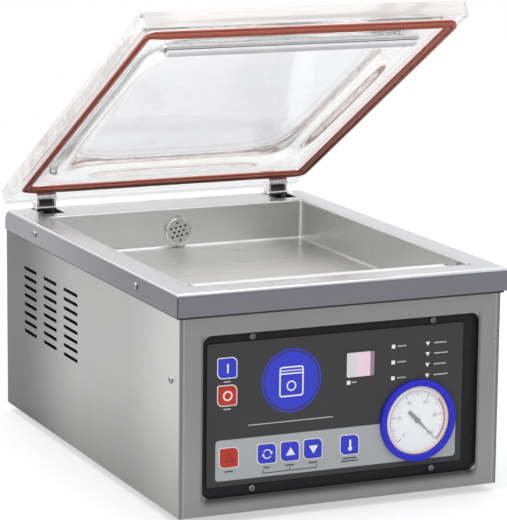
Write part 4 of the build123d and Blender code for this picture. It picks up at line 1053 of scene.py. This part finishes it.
def key_loop(key, margin, large, small):
    """Outline round a key; the upper right and lower left corners take the large radius."""
    size = KEY_SIZE + margin
    return rounded_rect(*KEYS[key], size, size, (large, small, large, small), 8)


# ---------------------------------------------------------------------------
# label print
# ---------------------------------------------------------------------------
BAND_LEFT, BAND_RIGHT, BAND_BOTTOM, BAND_TOP, BAND_R = -119.4, 122.0, -60.5, -23.0, 3.0
BAND_GAUGE_R = 34.0


def band_outline():
    """Rounded band, clockwise from the upper left, its top edge dipping round the gauge."""
    def corner(x, z, start):
        angles = [math.radians(start - t) for t in (0, 22, 45, 67, 90)]
        return [(x + BAND_R * math.cos(a), z + BAND_R * math.sin(a)) for a in angles]

    left, right = BAND_LEFT + BAND_R, BAND_RIGHT - BAND_R
    bottom, top = BAND_BOTTOM + BAND_R, BAND_TOP - BAND_R
    chord = math.sqrt(BAND_GAUGE_R ** 2 - (BAND_TOP - GAUGE_UP) ** 2)
    return (corner(left, top, 180) + [(GAUGE_RIGHT - chord, BAND_TOP)]
            + arc(GAUGE_RIGHT, GAUGE_UP, BAND_GAUGE_R, 43, 184, 356)
            + [(GAUGE_RIGHT + chord, BAND_TOP)] + corner(right, top, 90)
            + corner(right, bottom, 0) + corner(left, bottom, -90))


# light band along the lower part, with openings for its keys
openings = [key_loop(key, 0.55, 4.6, 1.4) for key, (_, up) in KEYS.items() if up < 0]
print_flat("print_band", [[band_outline()] + openings], "print_grey")

# white outlines round the keys
print_flat("print_key_frames", [[key_loop(key, 2.6, 5.4, 1.9), key_loop(key, 0.56, 4.6, 1.4)]
                                for key in KEYS], "print_white", thick=INK * 2)

print_flat("print_display_frame",
           [[rounded_rect(DISPLAY_RIGHT, DISPLAY_UP, DISPLAY_WIDTH + margin,
                          DISPLAY_HEIGHT + margin, radius)
             for margin, radius in ((3.4, 2.0), (0.3, 1.6))]], "print_dark", thick=INK * 2)

# badge: a disc inside a plain ring, and a pouch outline over it
BADGE_X, BADGE_Z, BADGE_R = -45.6, 26.1, 29.5
print_flat("badge_disc", [
    [circle(BADGE_X, BADGE_Z, BADGE_R, 96), circle(BADGE_X, BADGE_Z, BADGE_R - 1.6, 96)],
    [circle(BADGE_X, BADGE_Z, BADGE_R - 3.0, 96)],
], "print_blue")


def badge_line(top, bottom):
    left, right = BADGE_X - 10.6, BADGE_X + 10.6
    return [[(left, BADGE_Z + top), (right, BADGE_Z + top),
             (right, BADGE_Z + bottom), (left, BADGE_Z + bottom)]]


print_flat("badge_pouch", [
    [rounded_rect(BADGE_X, BADGE_Z - 1.0, 24, 28, 2.8),
     rounded_rect(BADGE_X, BADGE_Z - 1.0, 21.2, 25.2, 1.8)],
    badge_line(7.0, 5.7),
    badge_line(9.6, 8.7),
    [circle(BADGE_X, BADGE_Z - 5.0, 4.8, 32), circle(BADGE_X, BADGE_Z - 5.0, 3.5, 32)],
], "print_white", y=OVER_LABEL)

# captions are plain bars: right, up, width, height
LIGHT_CAPTIONS = (
    (-108.5, 30.3, 7.0, 1.2), (-108.4, 5.3, 7.0, 1.2),
    (65.0, 48.3, 9.0, 1.1), (65.0, 33.5, 9.0, 1.1), (65.0, 18.7, 9.0, 1.1),
    (17.0, 18.6, 5.0, 1.2),
    (104.3, 48.4, 12.75, 1.1), (105.3, 38.6, 14.45, 1.1),
    (104.3, 28.5, 12.75, 1.1), (105.3, 18.4, 14.45, 1.1),
    (-45.6, -11.5, 84.0, 0.9),
)
DARK_CAPTIONS = (
    (-106.2, -52.3, 8.0, 1.2), (-69.2, -52.3, 6.0, 1.2), (-46.2, -52.3, 9.0, 1.2),
    (-23.4, -52.3, 9.0, 1.2), (13.5, -52.0, 14.0, 1.2), (13.5, -54.6, 17.0, 1.2),
)


def caption_bars(rows):
    return [[rounded_rect(x, z, width, height, height * 0.35, 2)]
            for x, z, width, height in rows]


print_flat("print_captions_light", caption_bars(LIGHT_CAPTIONS), "print_soft_white")
print_flat("print_captions_dark", caption_bars(DARK_CAPTIONS), "print_dark", y=OVER_LABEL)

# bracket under the setting keys
BRACKET = [
    (-73.0, -54.2), (-72.2, -54.2), (-72.2, -56.8), (-46.6, -56.8), (-46.6, -54.2),
    (-45.8, -54.2), (-45.8, -56.8), (-20.2, -56.8), (-20.2, -54.2), (-19.4, -54.2),
    (-19.4, -57.6), (-73.0, -57.6),
]
print_flat("print_bracket", [[BRACKET]], "print_dark", y=OVER_LABEL)


# ---------------------------------------------------------------------------
# key legends, on the faces of the caps
# ---------------------------------------------------------------------------
def turning_arrows(x, z):
    """Two arcs chasing each other, each with an arrowhead at its start."""
    shapes = [[arc_band(x, z, 3.5, 4.5, start, start + 130, 16)] for start in (20, 200)]
    for start in (20, 200):
        base_x = x + 4.0 * math.cos(math.radians(start))
        base_z = z + 4.0 * math.sin(math.radians(start))
        heading = math.radians(start - 90)
        shapes.append([[(base_x + reach * math.cos(heading + turn),
                         base_z + reach * math.sin(heading + turn))
                        for reach, turn in ((2.4, 0.0), (1.5, 1.57), (1.5, -1.57))]])
    return shapes


def thermometer(x, z):
    return [[arc(x, z - 3.2, 2.1, 24, 118, 422)
             + [(x + 1.0, z + 4.6), (x + 0.7, z + 5.2), (x - 0.7, z + 5.2), (x - 1.0, z + 4.6)]]]


LEGENDS = {
    "key_on": lambda x, z: [[rounded_rect(x, z, 1.6, 8.4, 0.3)]],
    "key_off": lambda x, z: [[circle(x, z, 4.6, 40), circle(x, z, 3.2, 40)]],
    "key_stop": lambda x, z: [[arc(x, z - 0.8, r, 2, 90, 330) for r in (5.2, 3.6)]],
    "key_set": turning_arrows,
    "key_up": lambda x, z: [[[(x - 4.6, z - 3.4), (x + 4.6, z - 3.4), (x, z + 4.2)]]],
    "key_down": lambda x, z: [[[(x - 4.6, z + 3.4), (x, z - 4.2), (x + 4.6, z + 3.4)]]],
    "key_temperature": thermometer,
}
for key, legend in LEGENDS.items():
    ink = "print_dark" if key == "key_stop" else "print_white"
    print_flat(key.replace("key", "legend"), legend(*KEYS[key]), ink, y=LABEL_Y - 1.3,
               thick=0.05, body=key)

# ---------------------------------------------------------------------------
# gauge dial print: a scale over 270 degrees, clockwise from the lower left
# ---------------------------------------------------------------------------
DIAL_Y = LABEL_Y + 0.9
SCALE_START, SCALE_SWEEP, SCALE_R = 225, 270, 27.4
ON_DIAL = {"y": DIAL_Y, "slot": "gauge_face", "centre": GAUGE_CENTRE}


def dial_tick(i):
    angle = math.radians(SCALE_START - SCALE_SWEEP * i / 50)
    cos, sin = math.cos(angle), math.sin(angle)
    if i % 10 == 0:
        inner, half = 22.6, 0.42
    elif i % 5 == 0:
        inner, half = 23.8, 0.32
    else:
        inner, half = 25.4, 0.2
    return [[(r * cos - side * sin, r * sin + side * cos)
             for r, side in ((inner, half), (SCALE_R, half), (SCALE_R, -half), (inner, -half))]]


scale_line = [arc_band(0, 0, SCALE_R, 27.9, -45, 225, 72)]
print_flat("dial_ticks", [dial_tick(i) for i in range(51)] + [scale_line], "dial_ink_grey",
           **ON_DIAL)
print_flat("dial_red_arc", [[arc_band(0, 0, 27.9, 29.0, -45, 40, 40)]], "dial_ink_red",
           **ON_DIAL)

# cream ring sloping from the glass down to the dial: (radius, distance in front of the dial)
INNER_RING = ((31.6, 1.60), (31.0, 1.45), (29.4, 0.16), (29.4, 0.04), (31.6, 0.04), (31.6, 1.60))
rings = [[(x, DIAL_Y - ahead, z) for x, z in circle(*GAUGE_CENTRE, radius, 120)]
         for radius, ahead in INNER_RING]
build("gauge_inner_ring", bridge(rings), "gauge_inner_ring_cream", "cabinet",
      crease=40.0)


def number_mesh(text, x, z):
    """Verts and faces of a number centred at x, z on the dial."""
    curve = bpy.data.curves.new("number", "FONT")
    curve.body = text
    curve.size = 5.0
    curve.align_x = "CENTER"
    curve.align_y = "CENTER"
    curve.extrude = 0.02
    curve.resolution_u = 3
    obj = bpy.data.objects.new("number", curve)
    bpy.context.scene.collection.objects.link(obj)
    bpy.context.view_layer.update()
    depsgraph = bpy.context.evaluated_depsgraph_get()
    mesh = bpy.data.meshes.new_from_object(obj.evaluated_get(depsgraph))
    verts = [(x + v.co.x, DIAL_Y - 0.02 - v.co.z, z + v.co.y) for v in mesh.vertices]
    faces = [tuple(face.vertices) for face in mesh.polygons]
    bpy.data.objects.remove(obj)
    bpy.data.meshes.remove(mesh)
    bpy.data.curves.remove(curve)
    return verts, faces


def dial_numbers():
    verts, faces = [], []
    for i, text in enumerate(("0", "20", "40", "60", "80", "100")):
        angle = math.radians(SCALE_START - SCALE_SWEEP * i / 5)
        new_verts, new_faces = number_mesh(text, GAUGE_CENTRE[0] + 18.6 * math.cos(angle),
                                           GAUGE_CENTRE[1] + 18.6 * math.sin(angle))
        first = len(verts)
        verts += new_verts
        faces += [tuple(first + k for k in face) for face in new_faces]
    build("dial_numbers", (verts, faces), "dial_ink_grey", "cabinet")


dial_numbers()


# ---------------------------------------------------------------------------
# floor, world, lights, camera (metres)
# ---------------------------------------------------------------------------
def floor_paint():
    """Pale floor that fades to plain white away from the machine and mirrors darker."""
    mat = new_material("floor_paint")
    paint = mat.mix(mat.noise(scale=3.0, detail=2.0), (0.86, 0.86, 0.86), (0.88, 0.88, 0.88))
    ray = mat.node("LightPath")
    x, y, _ = mat.xyz()
    mirrored_level = (y - x * 0.35).fade(-0.75, 0.25, to=(0.26, 0.46))
    grey = mat.node("CombineColor", {i: mirrored_level for i in range(3)})
    colour = mat.mix(ray.out("Is Glossy Ray"), paint, grey)
    white = mat.node("Emission", {"Color": (1.0, 1.0, 1.0), "Strength": 1.0})
    far = mat.math("SQRT", x * x + y * y).fade(0.7, 2.2)
    seen = ray.out("Is Camera Ray").max(ray.out("Is Transmission Ray"))
    floor_bsdf = mat.bsdf(Base_Color=colour, Roughness=0.7, Specular_IOR_Level=0.2)
    mat.finish(mat.blend(far.max(0.58) * seen, floor_bsdf, white))


def add_floor(half=9.0):
    mesh = bpy.data.meshes.new("floor")
    corners = [(-half, -half, 0), (half, -half, 0), (half, half, 0), (-half, half, 0)]
    mesh.from_pydata(corners, [], [(0, 1, 2, 3)])
    floor = bpy.data.objects.new("floor", mesh)
    bpy.context.scene.collection.objects.link(floor)
    floor_paint()
    mesh.materials.append(MATERIALS["floor_paint"])


def add_world():
    """Plain white where seen; it lights more from behind and above, less from the sides."""
    world = bpy.data.worlds.new("studio")
    bpy.context.scene.world = world
    world.use_nodes = True
    sky = Shader(world.node_tree, "OutputWorld")
    x, y, z = sky.xyz(sky.node("TexCoord").out("Generated"))
    behind = y.fade(-0.5, 0.6, to=(0.36, 1.15))
    above = z.fade(0.26, 0.58, to=(0.0, 0.80))
    sides = x.fade(-0.7, 0.1, to=(0.76, 0.95)) * x.fade(0.22, 0.40, to=(1.0, 0.84))
    lighting = sky.node("Background", {"Color": (0.97, 0.98, 1.0),
                                       "Strength": (behind + above) * sides})
    backdrop = sky.node("Background", {"Color": (1.0, 1.0, 1.0), "Strength": 1.0})
    ray = sky.node("LightPath")
    seen = ray.out("Is Camera Ray").max(ray.out("Is Transmission Ray"))
    sky.finish(sky.blend(seen, lighting, backdrop))


def add_softbox(name, location, target, size, power, colour=(1, 1, 1)):
    light = bpy.data.lights.new(name, "AREA")
    light.shape = "RECTANGLE"
    light.size, light.size_y = size
    light.energy = power
    light.color = colour
    obj = bpy.data.objects.new(name, light)
    bpy.context.scene.collection.objects.link(obj)
    obj.location = location
    obj.rotation_mode = "QUATERNION"
    aim = Vector(target) - Vector(location)
    obj.rotation_quaternion = aim.to_track_quat("-Z", "Y")
    obj.visible_camera = False


def add_camera():
    """Long lens from the front left, a little above the machine."""
    yaw, pitch, roll = math.radians(24.27), math.radians(-11.25), math.radians(0.60)
    camera = bpy.data.cameras.new("camera")
    obj = bpy.data.objects.new("camera", camera)
    bpy.context.scene.collection.objects.link(obj)
    camera.sensor_width = 36.0
    camera.sensor_fit = "AUTO"
    camera.lens = 191.758154
    forward = Vector((math.sin(yaw) * math.cos(pitch), math.cos(yaw) * math.cos(pitch),
                      math.sin(pitch)))
    level = Vector((math.cos(yaw), -math.sin(yaw), 0.0))
    upright = level.cross(forward)
    right = math.cos(roll) * level + math.sin(roll) * upright
    up = -math.sin(roll) * level + math.cos(roll) * upright
    turn = Matrix((right, up, -forward)).transposed()
    obj.matrix_world = Matrix.Translation((-1.07351, -2.41110, 0.71376)) @ turn.to_4x4()
    camera.clip_start, camera.clip_end = 0.05, 60.0
    bpy.context.scene.camera = obj


add_floor()
add_world()
add_softbox("softbox_top", location=(-0.2, -0.2, 1.9), target=(0, 0, 0.15),
            size=(1.7, 1.9), power=19.0)
add_softbox("softbox_left", location=(-1.9, -0.7, 1.3), target=(0, 0, 0.15),
            size=(1.2, 1.0), power=12.0, colour=(1.0, 0.99, 0.97))
add_softbox("softbox_right", location=(1.7, -1.4, 1.2), target=(0, 0, 0.1),
            size=(0.9, 1.2), power=6.0, colour=(0.97, 0.98, 1.0))
add_camera()

scene = bpy.context.scene
scene.view_settings.view_transform = "Standard"
scene.view_settings.look = "None"
scene.cycles.caustics_reflective = False
scene.cycles.caustics_refractive = False
scene.cycles.max_bounces = 14
scene.cycles.transmission_bounces = 12
scene.cycles.transparent_max_bounces = 12
scene.cycles.sample_clamp_indirect = 6.0
